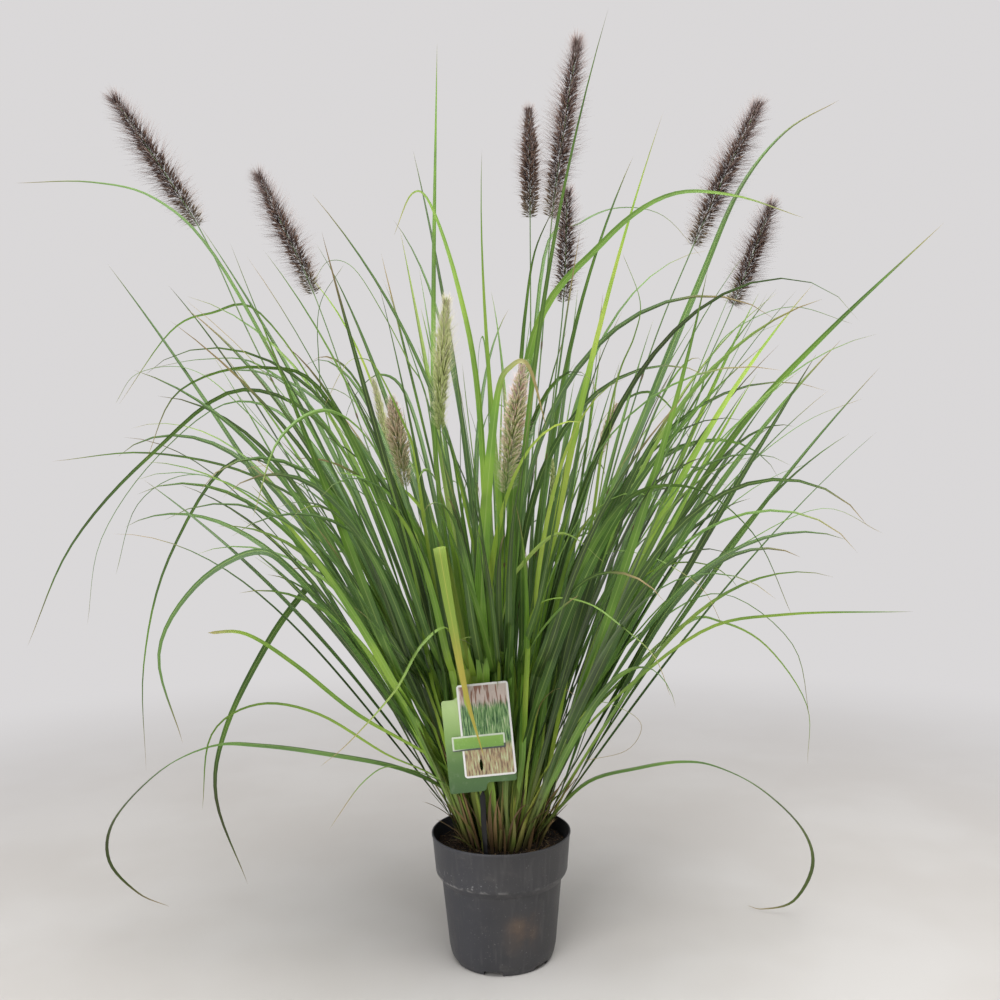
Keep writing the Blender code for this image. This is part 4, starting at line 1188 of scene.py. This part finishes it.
# %% Shoots of the crown
dice = random.Random(5)
bm, layers = new_strands()
for base, direction, length, out_share in shoots:
    top = base + direction * (0.95 * length)
    outward = Vector((direction.x, direction.y, 0.0)) * 0.012
    route = behind_label(smooth_route([base, base.lerp(top, 0.5) - outward, top], 5), 0.4 * DEEPEST)
    width = dice.uniform(0.0036, 0.0052)
    add_rod(bm, layers, route, lambda share: width * (1.0 - share ** 1.4), dice.random(),
            dry=dice.betavariate(1.0, 2.6), flat=dice.uniform(0.45, 0.7), twist=dice.uniform(-0.9, 0.9))
strands_piece(bm, "crown_shoots", sheath, "sheath_green", "tiller_bundle", crease=ROD_CREASE)

# %% Peeling sheaths
PEELING_SHEATHS = 64

bm, layers = new_strands()
for i in range(PEELING_SHEATHS):
    angle = i * GOLDEN_TURN
    radius = dice.uniform(0.030, 0.056)
    lean = math.radians(dice.uniform(14.0, 46.0))
    base = Vector((radius * math.cos(angle), radius * math.sin(angle), 0.152))
    length = dice.uniform(0.03, 0.13)
    route = grown_route(base, pointing(lean, angle), length, lean + math.radians(dice.uniform(0.0, 40.0)),
                        2.0, dice.uniform(-0.6, 0.6))[::2]
    if any(point.z < 0.174 and point.xy.length > 0.088 for point in route):
        continue
    add_blade(bm, layers, behind_label(route), dice.uniform(0.0022, 0.0060), 0.8 * dice.random(),
              dry=dice.uniform(0.35, 1.0), twist=dice.uniform(-1.0, 1.0), fold=0.35, thick=0.0004, tip=0.15)
strands_piece(bm, "crown_dry_sheaths", sheath, "sheath_green")

# %% Straw and roots on the soil
FIBRES = 230

bm, layers = new_strands()
for i in range(FIBRES):
    angle = dice.uniform(0.0, 2.0 * math.pi)
    radius = dice.uniform(0.048, 0.084)
    x, y = radius * math.cos(angle), radius * math.sin(angle)
    turn = dice.uniform(0.0, 2.0 * math.pi)
    length = dice.uniform(0.006, 0.022)
    route = []
    for step in range(5):
        route.append(Vector((x, y, soil_height(x, y) + dice.uniform(0.0002, 0.0018))))
        turn += dice.uniform(-0.8, 0.8)
        x += length / 4.0 * math.cos(turn)
        y += length / 4.0 * math.sin(turn)
    if math.hypot(x, y) > 0.086:
        continue
    size = dice.uniform(0.00018, 0.00045)
    add_rod(bm, layers, route, lambda share: size, dice.random(), dry=1.0, sides=4)
strands_piece(bm, "soil_fibres", sheath, "peat_soil", crease=ROD_CREASE)

# %% [markdown]
# ## The flower stems
#
# A culm is a thin round stem with a joint every hand's breadth: a short swelling with a darker ring.
# It runs from the soil right up through its spike, where it is the stalk that the flowers sit on.

# %% Stem material
culm_green, tree = new_material("culm_green", 0.45, 0.45)
along, across, _, seed, ringed = (attribute(tree, word) for word in NUMBERS)
lines = use(tree, fine_lines, Across=across, Along=along, Seed=seed, Lines=4.0)
tone = mixed(tree, blotched(tree, 35.0, 0.35, 0.7), (0.070, 0.150, 0.035), (0.125, 0.210, 0.060))
tone = layered(tree, tone, (lines["Line"], 0.3, (0.22, 0.30, 0.11)), (ringed, 1.0, (0.110, 0.060, 0.035)))
surface(tree, tone, (lines["Line"], 0.12, 0.38), (lines["Line"], 0.0001, 0.6))
print(culm_green.name, "ready")

# %% Flower stems
STEM_JOINTS = (0.30, 0.47, 0.62)           # as shares of a stem's length
JOINT_RING = 0.004                         # half the dark ring's width, as a share too
STEM_STEPS = 8                             # steps between two points of a stem's route
SPIKE_STEPS = 24                           # steps along a spike


def stem_radius(share):
    """A culm thins to its tip and swells at each joint."""
    swelling = sum(math.exp(-((share - joint) / 0.006) ** 2) for joint in STEM_JOINTS)
    return (0.0016 - 0.0010 * share) * (1.0 + 0.45 * swelling)


def stem_shares():
    """Places along a stem: evenly spaced, and closer together at the joints."""
    shares = {i / 40.0 for i in range(41)}
    for joint in STEM_JOINTS:
        shares |= {joint + d for d in (-0.012, -0.006, -0.003, 0.0, 0.003, 0.006, 0.012)}
    return sorted(shares)


spike_routes = {}
for k, (name, (spike_length, *points)) in enumerate(CULMS.items()):
    whole = smooth_route(down_to_soil(points), STEM_STEPS)
    reached = lengths_along(whole)
    route = [point_at(whole, reached, share * reached[-1]) for share in stem_shares()]
    bm, layers = new_strands()
    add_rod(bm, layers, route, stem_radius, seed=k / 12.0)
    for vertex in bm.verts:
        near = min(abs(vertex[layers[0]] - joint) for joint in STEM_JOINTS)
        vertex[layers[-1]] = 0.8 * (near < JOINT_RING)
    strands_piece(bm, "stem_" + name, culm_green, "culm_green", "culm_" + name, crease=ROD_CREASE)
    spike_routes[name] = part_of(whole, reached[-1] - spike_length, reached[-1], SPIKE_STEPS)

# %% [markdown]
# ## The ripe spikes
#
# A bottle-brush spike is a stalk set all round with small lance-shaped spikelets, and each spikelet
# sits in a tuft of long straight bristles. Spikelets and bristles are separate copies of two small
# shapes. The spikelets are placed by the golden angle, so they wind up the stalk without any rows,
# the bristles at random turns round it, and both lean forward, more so towards the tip. One piece
# holds the spikelets, another the bristles.

# %% Small shapes of a spike
SPIKELET_FORM = (            # radius at each height, for a height of one
    (0.014, 0.0), (0.012, 0.38), (0.060, 0.50), (0.072, 0.68), (0.030, 0.88), (0.0, 1.0))


def small_shape(bm, name):
    """A finished small shape whose points carry how far up it they are."""
    along = bm.verts.layers.float.new("along")
    for vertex in bm.verts:
        vertex[along] = vertex.co.z
    return mesh_from(bm, name)


bm = bmesh.new()
spin_round(bm, section_wire(bm, SPIKELET_FORM), 4)
bmesh.ops.holes_fill(bm, edges=bm.edges, sides=4)
bmesh.ops.recalc_face_normals(bm, faces=bm.faces)
spikelet_shape = small_shape(bm, "spikelet_shape")

bm = bmesh.new()
bmesh.ops.create_cone(bm, cap_ends=True, segments=3, radius1=0.5, radius2=0.0, depth=1.0,
                      matrix=Matrix.Translation((0.0, 0.0, 0.5)))
bristle_shape = small_shape(bm, "bristle_shape")
print("spikelet", triangles_in(spikelet_shape), "bristle", triangles_in(bristle_shape), "triangles")


# %% Set out a spike
def fullness(shares, foot, tip):
    """How far a spike reaches at each place, as a share of its fullest."""
    steps = (0.0, 0.18, 0.38, 0.62, 0.86, 1.0)
    return np.interp(shares, steps, (foot, 0.5 + 0.5 * foot, 1.0, 0.95, 0.45 + 0.55 * tip, tip))


def set_round(name, shape, route, shares, turns, leans, start, lengths, widths, dice):
    """Copies of a shape round a stalk: at shares of its length, turned round it by radians, leaning
    from it by degrees."""
    frames = frames_along(route)
    steps = np.linspace(0.0, 1.0, len(frames))
    places, across, upper, along = (
        np.stack([np.interp(shares, steps, [frame[part][k] for frame in frames]) for k in range(3)], axis=1)
        for part in range(4))
    turns, leans = turns[:, None], np.radians(leans)[:, None]
    outward = across * np.cos(turns) + upper * np.sin(turns)
    directions = along * np.cos(leans) + outward * np.sin(leans)
    directions /= np.linalg.norm(directions, axis=1, keepdims=True)
    return scatter(name, shape, places + outward * start, turns_to(directions),
                   np.stack([widths, widths, lengths], 1), seed=dice.uniform(0.0, 1.0, len(shares)),
                   height=shares)


def lay_spikelets(name, route, length, per_metre, size, lean_foot, lean_tip, dice, foot=0.8, tip=0.3,
                  slim=1.0):
    """Spikelets up a stalk, sparse at its foot."""
    count = int(per_metre * length)
    shares = np.linspace(0.0, 1.0, count) ** 0.85
    turns = np.arange(count) * GOLDEN_TURN + dice.normal(0.0, 0.25, count)
    leans = np.interp(shares, (0.0, 0.88, 1.0), (lean_foot, lean_tip, 0.35 * lean_tip))
    leans = leans + dice.normal(0.0, 6.0, count)
    lengths = size * fullness(shares, foot, tip) * dice.uniform(0.8, 1.12, count)
    widths = slim * lengths * dice.uniform(0.85, 1.15, count)
    return set_round("flowers_" + name, spikelet_shape, route, shares, turns, leans, 0.0004, lengths,
                     widths, dice)


def lay_bristles(name, route, length, per_metre, reach, lean_foot, lean_tip, thick, dice, tip=0.5, tuft=0.04):
    """Bristles up a stalk, with a closing tuft at its tip."""
    count = int(per_metre * length)
    shares = dice.uniform(0.01, 1.0, count)
    shares[: int(tuft * count)] = dice.uniform(0.95, 1.0, int(tuft * count))
    turns = dice.uniform(0.0, 2.0 * math.pi, count)
    leans = np.interp(shares, (0.0, 0.85, 1.0), (lean_foot, lean_tip, 0.5 * lean_tip))
    leans = np.abs(leans + dice.normal(0.0, 11.0, count))
    lengths = reach * fullness(shares, 0.45, tip) * dice.uniform(0.62, 1.12, count)
    widths = np.full(count, thick)
    return set_round("bristles_" + name, bristle_shape, route, shares, turns, leans, 0.003, lengths,
                     widths, dice)


# %% Materials of a ripe spike
def spike_material(name, seeds, tip_tone, foot_tone, foot_share, roughness, speckled):
    """Spikelets or bristles: a tone for each copy, another towards its tip, greener at the spike's foot."""
    material, tree = new_material(name, roughness, 0.3)
    speckle = blotched(tree, 260.0, 0.35, 0.65)
    tone = layered(tree, ramp(tree, attribute(tree, "seed"), *seeds),
                   (between(tree, attribute(tree, "height"), foot_share, 0.02), 0.7, foot_tone),
                   (between(tree, attribute(tree, "along"), 0.35, 1.0), 0.85, tip_tone),
                   (speckle, speckled, (0.03, 0.018, 0.014)))
    surface(tree, tone, (speckle, 0.15, roughness - 0.1))
    return material


ripe_spikelets = spike_material(
    "ripe_spikelets",
    ((0.0, (0.020, 0.011, 0.010)), (0.6, (0.058, 0.030, 0.025)), (1.0, (0.150, 0.090, 0.058))),
    (0.20, 0.125, 0.085), (0.110, 0.105, 0.050), 0.35, 0.7, 0.25)
ripe_bristles = spike_material(
    "ripe_bristles", ((0.0, (0.060, 0.036, 0.036)), (0.6, (0.13, 0.080, 0.075)), (1.0, (0.24, 0.165, 0.14))),
    (0.46, 0.36, 0.32), (0.30, 0.25, 0.16), 0.25, 0.6, 0.25)
print(ripe_spikelets.name, "and", ripe_bristles.name, "ready")

# %% The seven ripe spikes
# Leans from the stalk are in degrees, at the spike's foot and at its tip.
SPIKELET_LEANS = (68.0, 46.0)
BRISTLE_LEANS = (78.0, 48.0)
BRISTLES_PER_METRE = 9000
RIPE_BRISTLE = 0.00046       # breadth of a bristle at its foot
RIPE_WAYS = {                # spikelets to a metre of stalk, their length, the bristles' length
    "centre_left": (2500, 0.0178, 0.029),
    "centre_right": (1700, 0.0145, 0.030),
}
for k, (name, (spike_length, *_)) in enumerate(CULMS.items()):
    if name.startswith("young"):
        continue
    per_metre, size, reach = RIPE_WAYS.get(name, (1450, 0.0175, 0.040))
    dice = np.random.default_rng(40 + k)
    route = spike_routes[name]
    mesh = lay_spikelets(name, route, spike_length, per_metre, size, *SPIKELET_LEANS, dice)
    piece_from("flowers_" + name, mesh, ripe_spikelets, "ripe_spike", "spike_" + name)
    mesh = lay_bristles(name, route, spike_length, BRISTLES_PER_METRE, reach, *BRISTLE_LEANS, RIPE_BRISTLE,
                        dice)
    piece_from("bristles_" + name, mesh, ripe_bristles, "ripe_spike")

# %% [markdown]
# ## The young spikes
#
# Spikes that have only just come out of their sheaths are slimmer and paler, and their bristles
# still lie close. Each is at another stage: one pale green, one open and pink, one brown, and two
# still furled like a brush that has been wiped. Two more furled buds stand inside the clump.

# %% Materials of the young spikes
fresh_spikelets = spike_material(
    "fresh_spikelets", ((0.0, (0.18, 0.27, 0.055)), (0.6, (0.35, 0.44, 0.12)), (1.0, (0.52, 0.57, 0.22))),
    (0.56, 0.60, 0.27), (0.36, 0.50, 0.13), 0.4, 0.6, 0.04)
fresh_bristles = spike_material(
    "fresh_bristles", ((0.0, (0.42, 0.46, 0.18)), (0.6, (0.52, 0.50, 0.28)), (1.0, (0.58, 0.48, 0.40))),
    (0.66, 0.58, 0.48), (0.48, 0.56, 0.20), 0.55, 0.6, 0.04)
pink_spikelets = spike_material(
    "pink_spikelets", ((0.0, (0.40, 0.54, 0.15)), (0.68, (0.58, 0.66, 0.26)), (0.82, (0.50, 0.17, 0.22)),
                       (1.0, (0.34, 0.08, 0.12))),
    (0.78, 0.58, 0.50), (0.52, 0.70, 0.22), 0.95, 0.6, 0.02)
pink_bristles = spike_material(
    "pink_bristles", ((0.0, (0.56, 0.54, 0.32)), (0.4, (0.72, 0.46, 0.46)), (1.0, (0.86, 0.76, 0.74))),
    (0.88, 0.74, 0.74), (0.60, 0.68, 0.34), 0.8, 0.6, 0.02)
brown_bristles = spike_material(
    "brown_bristles", ((0.0, (0.40, 0.38, 0.20)), (0.5, (0.54, 0.40, 0.30)), (1.0, (0.76, 0.66, 0.56))),
    (0.78, 0.68, 0.60), (0.48, 0.56, 0.22), 0.9, 0.6, 0.04)
brown_spikelets = spike_material(
    "brown_spikelets", ((0.0, (0.20, 0.28, 0.08)), (0.45, (0.40, 0.40, 0.17)), (0.62, (0.32, 0.12, 0.09)),
                        (0.8, (0.24, 0.10, 0.08)), (1.0, (0.52, 0.46, 0.26))),
    (0.56, 0.40, 0.30), (0.34, 0.46, 0.12), 1.0, 0.65, 0.10)
print("six materials for young spikes ready")

# %% The young spikes of the frame
YOUNG_BRISTLE = 0.00034

fresh = (fresh_spikelets, fresh_bristles)
brown = (brown_spikelets, brown_bristles)
# Spikelets, then bristles: how many to a metre of stalk, their length, and how far they lean from
# the stalk in degrees, at its foot and at its tip.
YOUNG_WAYS = {
    "young_green": (fresh, (4600, 0.0225, 30.0, 22.0), (6500, 0.038, 34.0, 26.0)),
    "young_pink": ((pink_spikelets, pink_bristles), (3800, 0.0220, 52.0, 38.0), (5000, 0.034, 60.0, 42.0)),
    "young_brown": (brown, (4400, 0.0240, 46.0, 32.0), (4500, 0.032, 52.0, 34.0)),
    "young_pale": (fresh, (3600, 0.0190, 22.0, 14.0), (7000, 0.026, 22.0, 12.0)),
    "young_furled": (brown, (3600, 0.0190, 24.0, 14.0), (7000, 0.026, 24.0, 12.0)),
}
for k, (name, ((flowers, hairs), spikelets, bristles)) in enumerate(YOUNG_WAYS.items()):
    spike_length, route = CULMS[name][0], spike_routes[name]
    dice = np.random.default_rng(60 + k)
    mesh = lay_spikelets(name, route, spike_length, *spikelets, dice, foot=0.45, tip=0.15, slim=0.66)
    piece_from("flowers_" + name, mesh, flowers, "young_spike", "spike_" + name)
    mesh = lay_bristles(name, route, spike_length, *bristles, YOUNG_BRISTLE, dice, tip=0.3, tuft=0.01)
    piece_from("bristles_" + name, mesh, hairs, "young_spike")

# %% Two furled buds inside the clump
BUD_LENGTH = 0.062
BUDS = {                     # routes in millimetres
    "bud_right": ((20, 10, 160), (45, 20, 350), (70, 30, 530), (78, 30, 615), (80, 30, 680)),
    "bud_middle": ((0, -5, 160), (0, -10, 350), (2, -20, 530), (3, -20, 625), (4, -20, 675)),
}
for k, (name, points) in enumerate(BUDS.items()):
    whole = smooth_route(metres(points), STEM_STEPS)
    total = lengths_along(whole)[-1]
    bm, layers = new_strands()
    add_rod(bm, layers, part_of(whole, 0.0, total, 20), lambda share: 0.0014 - 0.0008 * share, seed=0.5)
    strands_piece(bm, "stem_" + name, culm_green, "culm_green", crease=ROD_CREASE)
    route = part_of(whole, total - BUD_LENGTH, total, 12)
    mesh = lay_spikelets(name, route, BUD_LENGTH, 3000, 0.012, 16.0, 8.0, np.random.default_rng(80 + k))
    piece_from("flowers_" + name, mesh, fresh_spikelets, "young_spike")

# %% [markdown]
# ## The label
#
# A plant label is two printed plastic cards on a stake. The back card is green and fades from light
# at the top to dark at the foot; the front one shows the plant under a white border, with a plain
# name strip across it. Both are flat shapes with rounded corners, so each starts as one face whose
# corners are bevelled and which is then extruded. The print is generic: a few soft bands of colour,
# no letters and no signs. Its patterns use a Mapping node that turns with the card.

# %% Card shapes
LABEL_TURN = math.radians(4.8)
CARD_FRONT = -0.0769         # y of the back card's front face, in front of the stake
BACK_MIDDLE = (-0.0235, 0.3115)
PICTURE_MIDDLE = (-0.0168, 0.3300)
STRIP_MIDDLE = (-0.0270, 0.3140)


def card_mesh(name, outline, radius, middle, y_front, thick):
    """A flat card with rounded corners, standing upright and turned with the label."""
    bm = bmesh.new()
    face = bm.faces.new([bm.verts.new((x, 0.0, z)) for x, z in outline])
    bmesh.ops.bevel(bm, geom=list(face.verts), offset=radius, offset_type="OFFSET", segments=6,
                    profile=0.5, affect="VERTICES", material=-1)
    made = bmesh.ops.extrude_face_region(bm, geom=list(bm.faces), use_keep_orig=True)["geom"]
    raised = [g for g in made if isinstance(g, bmesh.types.BMVert)]
    bmesh.ops.translate(bm, verts=raised, vec=(0.0, thick, 0.0))
    bmesh.ops.rotate(bm, verts=bm.verts, matrix=Matrix.Rotation(-LABEL_TURN, 3, "Y"))
    bmesh.ops.translate(bm, verts=bm.verts, vec=(middle[0], y_front, middle[1]))
    bmesh.ops.recalc_face_normals(bm, faces=bm.faces)
    rim = [e for e in bm.edges if len(e.link_faces) == 2 and e.calc_face_angle() > 1.2]
    bmesh.ops.bevel(bm, geom=rim, offset=0.12 * thick, segments=2, profile=0.5, affect="EDGES", material=-1)
    return mesh_from(bm, name, 40.0)


def box_outline(width, height):
    """The four corners of a card about its own middle."""
    x, z = width / 2, height / 2
    return [(-x, -z), (-x, z), (x, z), (x, -z)]


BACK_SIZE, PICTURE_SIZE, STRIP_SIZE = (0.094, 0.124), (0.0675, 0.122), (0.069, 0.0190)
back_outline = [(-0.047, -0.062), (-0.047, 0.060), (-0.029, 0.060), (-0.029, 0.063), (0.040, 0.063),
                (0.0415, -0.052), (0.003, -0.051), (0.000, -0.062)]
back_mesh = card_mesh("card_back", back_outline, 0.0035, BACK_MIDDLE, CARD_FRONT, 0.0010)
picture_mesh = card_mesh("card_picture", box_outline(*PICTURE_SIZE), 0.004, PICTURE_MIDDLE,
                         CARD_FRONT - 0.0013, 0.0010)
strip_mesh = card_mesh("card_name_strip", box_outline(*STRIP_SIZE), 0.0008, STRIP_MIDDLE,
                       CARD_FRONT - 0.0022, 0.0008)

# %% Slot through both cards
bm = bmesh.new()
bmesh.ops.create_cone(bm, cap_ends=True, segments=32, radius1=1.0, radius2=1.0, depth=1.0,
                      matrix=Matrix.Translation((-0.0240, CARD_FRONT - 0.001, 0.2840))
                      @ Matrix.Rotation(-LABEL_TURN, 4, "Y") @ Matrix.Diagonal((0.0022, 0.006, 0.0078, 1.0))
                      @ Matrix.Rotation(math.radians(90.0), 4, "X"))
bmesh.ops.recalc_face_normals(bm, faces=bm.faces)
slot_mesh = mesh_from(bm, "slot_cutter")
back_mesh = cut_from(back_mesh, slot_mesh, "card_back")
picture_mesh = cut_from(picture_mesh, slot_mesh, "card_picture")
print("slot cut through both cards")


# %% Printed materials
def on_card(tree, middle, size):
    """A place on a card, -0.5 to 0.5 across it (X) and up it (Z), whole and by axis."""
    values = {"Vector": own_place(tree), "Location": (middle[0], CARD_FRONT, middle[1]),
              "Rotation": (0.0, -LABEL_TURN, 0.0), "Scale": (size[0], 1.0, size[1])}
    spot = node(tree, "ShaderNodeMapping", values, vector_type="TEXTURE").outputs[0]
    return spot, axes_of(tree, spot)


def inside_edge(tree, axes, size, border):
    """1 inside a card's printed border, 0 on it."""
    masks = []
    for axis, length in (("X", size[0]), ("Z", size[1])):
        away = sum_of(tree, "ABSOLUTE", axes[axis])
        edge = 0.5 - border / length
        masks.append(between(tree, away, edge + 0.3 * border / length, edge - 0.3 * border / length))
    return product(tree, *masks)


CARD_FINENESS = (2500.0, 90.0)             # of grain and of dust
CARD_GRAIN = (0.00003, 0.4)                # distance and strength of the relief

card_green, tree = new_material("card_green", 0.38, 0.5)
_, axes = on_card(tree, BACK_MIDDLE, BACK_SIZE)
tone = ramp(tree, sum_of(tree, "ADD", axes["Z"], 0.5), (0.0, (0.055, 0.125, 0.040)),
            (0.30, (0.095, 0.190, 0.055)), (0.62, (0.24, 0.39, 0.12)), (0.90, (0.44, 0.60, 0.24)))
grain, dust = grain_and_dust(tree, *CARD_FINENESS)
tone = layered(tree, tone, (dust, 0.12, (0.45, 0.50, 0.38)))
surface(tree, tone, (dust, 0.2, 0.32), (grain, *CARD_GRAIN))
piece_from("card_back", back_mesh, card_green, "label_green", "label_back_card")

card_picture, tree = new_material("card_picture", 0.3, 0.5)
spot, axes = on_card(tree, PICTURE_MIDDLE, PICTURE_SIZE)
leaning = [noise_at(tree, mapped(tree, spot, (44.0, 1.0, 6.0), lean, (lean, 0.0, 0.0)), Detail=2.0,
                    Distortion=0.4) for lean in (-0.30, 0.06, 0.34)]
blades = sum_of(tree, "MAXIMUM", leaning[0], sum_of(tree, "MAXIMUM", leaning[1], leaning[2]))
plumes = noise_at(tree, mapped(tree, spot, (16.0, 1.0, 3.2), 0.0, (3.0, 0.0, 1.0)))
crossed = noise_at(tree, mapped(tree, spot, (26.0, 1.0, 8.0), 0.7), Detail=3.0)
sky = mixed(tree, between(tree, plumes, 0.50, 0.60), (0.56, 0.47, 0.42), (0.26, 0.13, 0.09))
tussock = ramp(tree, blades, (0.48, (0.030, 0.085, 0.030)), (0.57, (0.12, 0.25, 0.085)),
               (0.66, (0.28, 0.42, 0.18)), (0.76, (0.56, 0.58, 0.40)))
straw = ramp(tree, crossed, (0.34, (0.14, 0.085, 0.06)), (0.50, (0.40, 0.30, 0.17)),
             (0.62, (0.42, 0.46, 0.24)), (0.74, (0.70, 0.66, 0.50)))
height = sum_of(tree, "MULTIPLY_ADD", blades, 0.30, sum_of(tree, "SUBTRACT", axes["Z"], 0.15))
scene_print = mixed(tree, between(tree, height, 0.26, 0.34), tussock, sky)
scene_print = mixed(tree, between(tree, axes["Z"], -0.12, -0.20), scene_print, straw)
inner = inside_edge(tree, axes, PICTURE_SIZE, 0.0026)
grain, dust = grain_and_dust(tree, *CARD_FINENESS)
surface(tree, mixed(tree, inner, (0.80, 0.79, 0.77), scene_print), (dust, 0.2, 0.24), (grain, *CARD_GRAIN))
piece_from("card_picture", picture_mesh, card_picture, "label_picture", "label_picture_card")

name_strip, tree = new_material("name_strip", 0.35, 0.5)
_, axes = on_card(tree, STRIP_MIDDLE, STRIP_SIZE)
face = mixed(tree, sum_of(tree, "ADD", axes["Z"], 0.5), (0.16, 0.33, 0.060), (0.26, 0.44, 0.10))
below = sum_of(tree, "SUBTRACT", axes["Z"], product(tree, axes["X"], 0.25))
border = mixed(tree, between(tree, below, -0.28, -0.36), (0.62, 0.68, 0.55), (0.07, 0.08, 0.075))
_, dust = grain_and_dust(tree, *CARD_FINENESS)
surface(tree, mixed(tree, inside_edge(tree, axes, STRIP_SIZE, 0.0022), border, face), (dust, 0.2, 0.26))
piece_from("card_name_strip", strip_mesh, name_strip, "label_green")

# %% Stake
stake_black, tree = new_material("stake_black", 0.42, 0.3)
grain, dust = grain_and_dust(tree, 1500.0, 110.0)
tone = mixed(tree, product(tree, dust, 0.4), (0.008, 0.008, 0.009), (0.040, 0.034, 0.028))
surface(tree, tone, (dust, 0.35, 0.35), (grain, 0.0001, 0.5))
bm, layers = new_strands()
route = smooth_route([(-0.0200, -0.0735, 0.112), (-0.0203, -0.0735, 0.160), (-0.0222, -0.0738, 0.205),
                      (-0.0232, -0.0745, 0.250)], 6)
add_rod(bm, layers, route, lambda share: 0.0036, seed=0.5, flat=0.30, sides=12, twist=1.5)
strands_piece(bm, "label_stake_twisted", stake_black, "stake_plastic", "label_stake", crease=35.0)

# %% [markdown]
# ## Print the sizes and finish

# %% Finish
box_low, box_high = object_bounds()
sizes = {"cad": [[round(v, 5) for v in frame_low], [round(v, 5) for v in frame_high]],
         "visual": [[round(v, 5) for v in box_low], [round(v, 5) for v in box_high]]}
print("sizes", sizes)
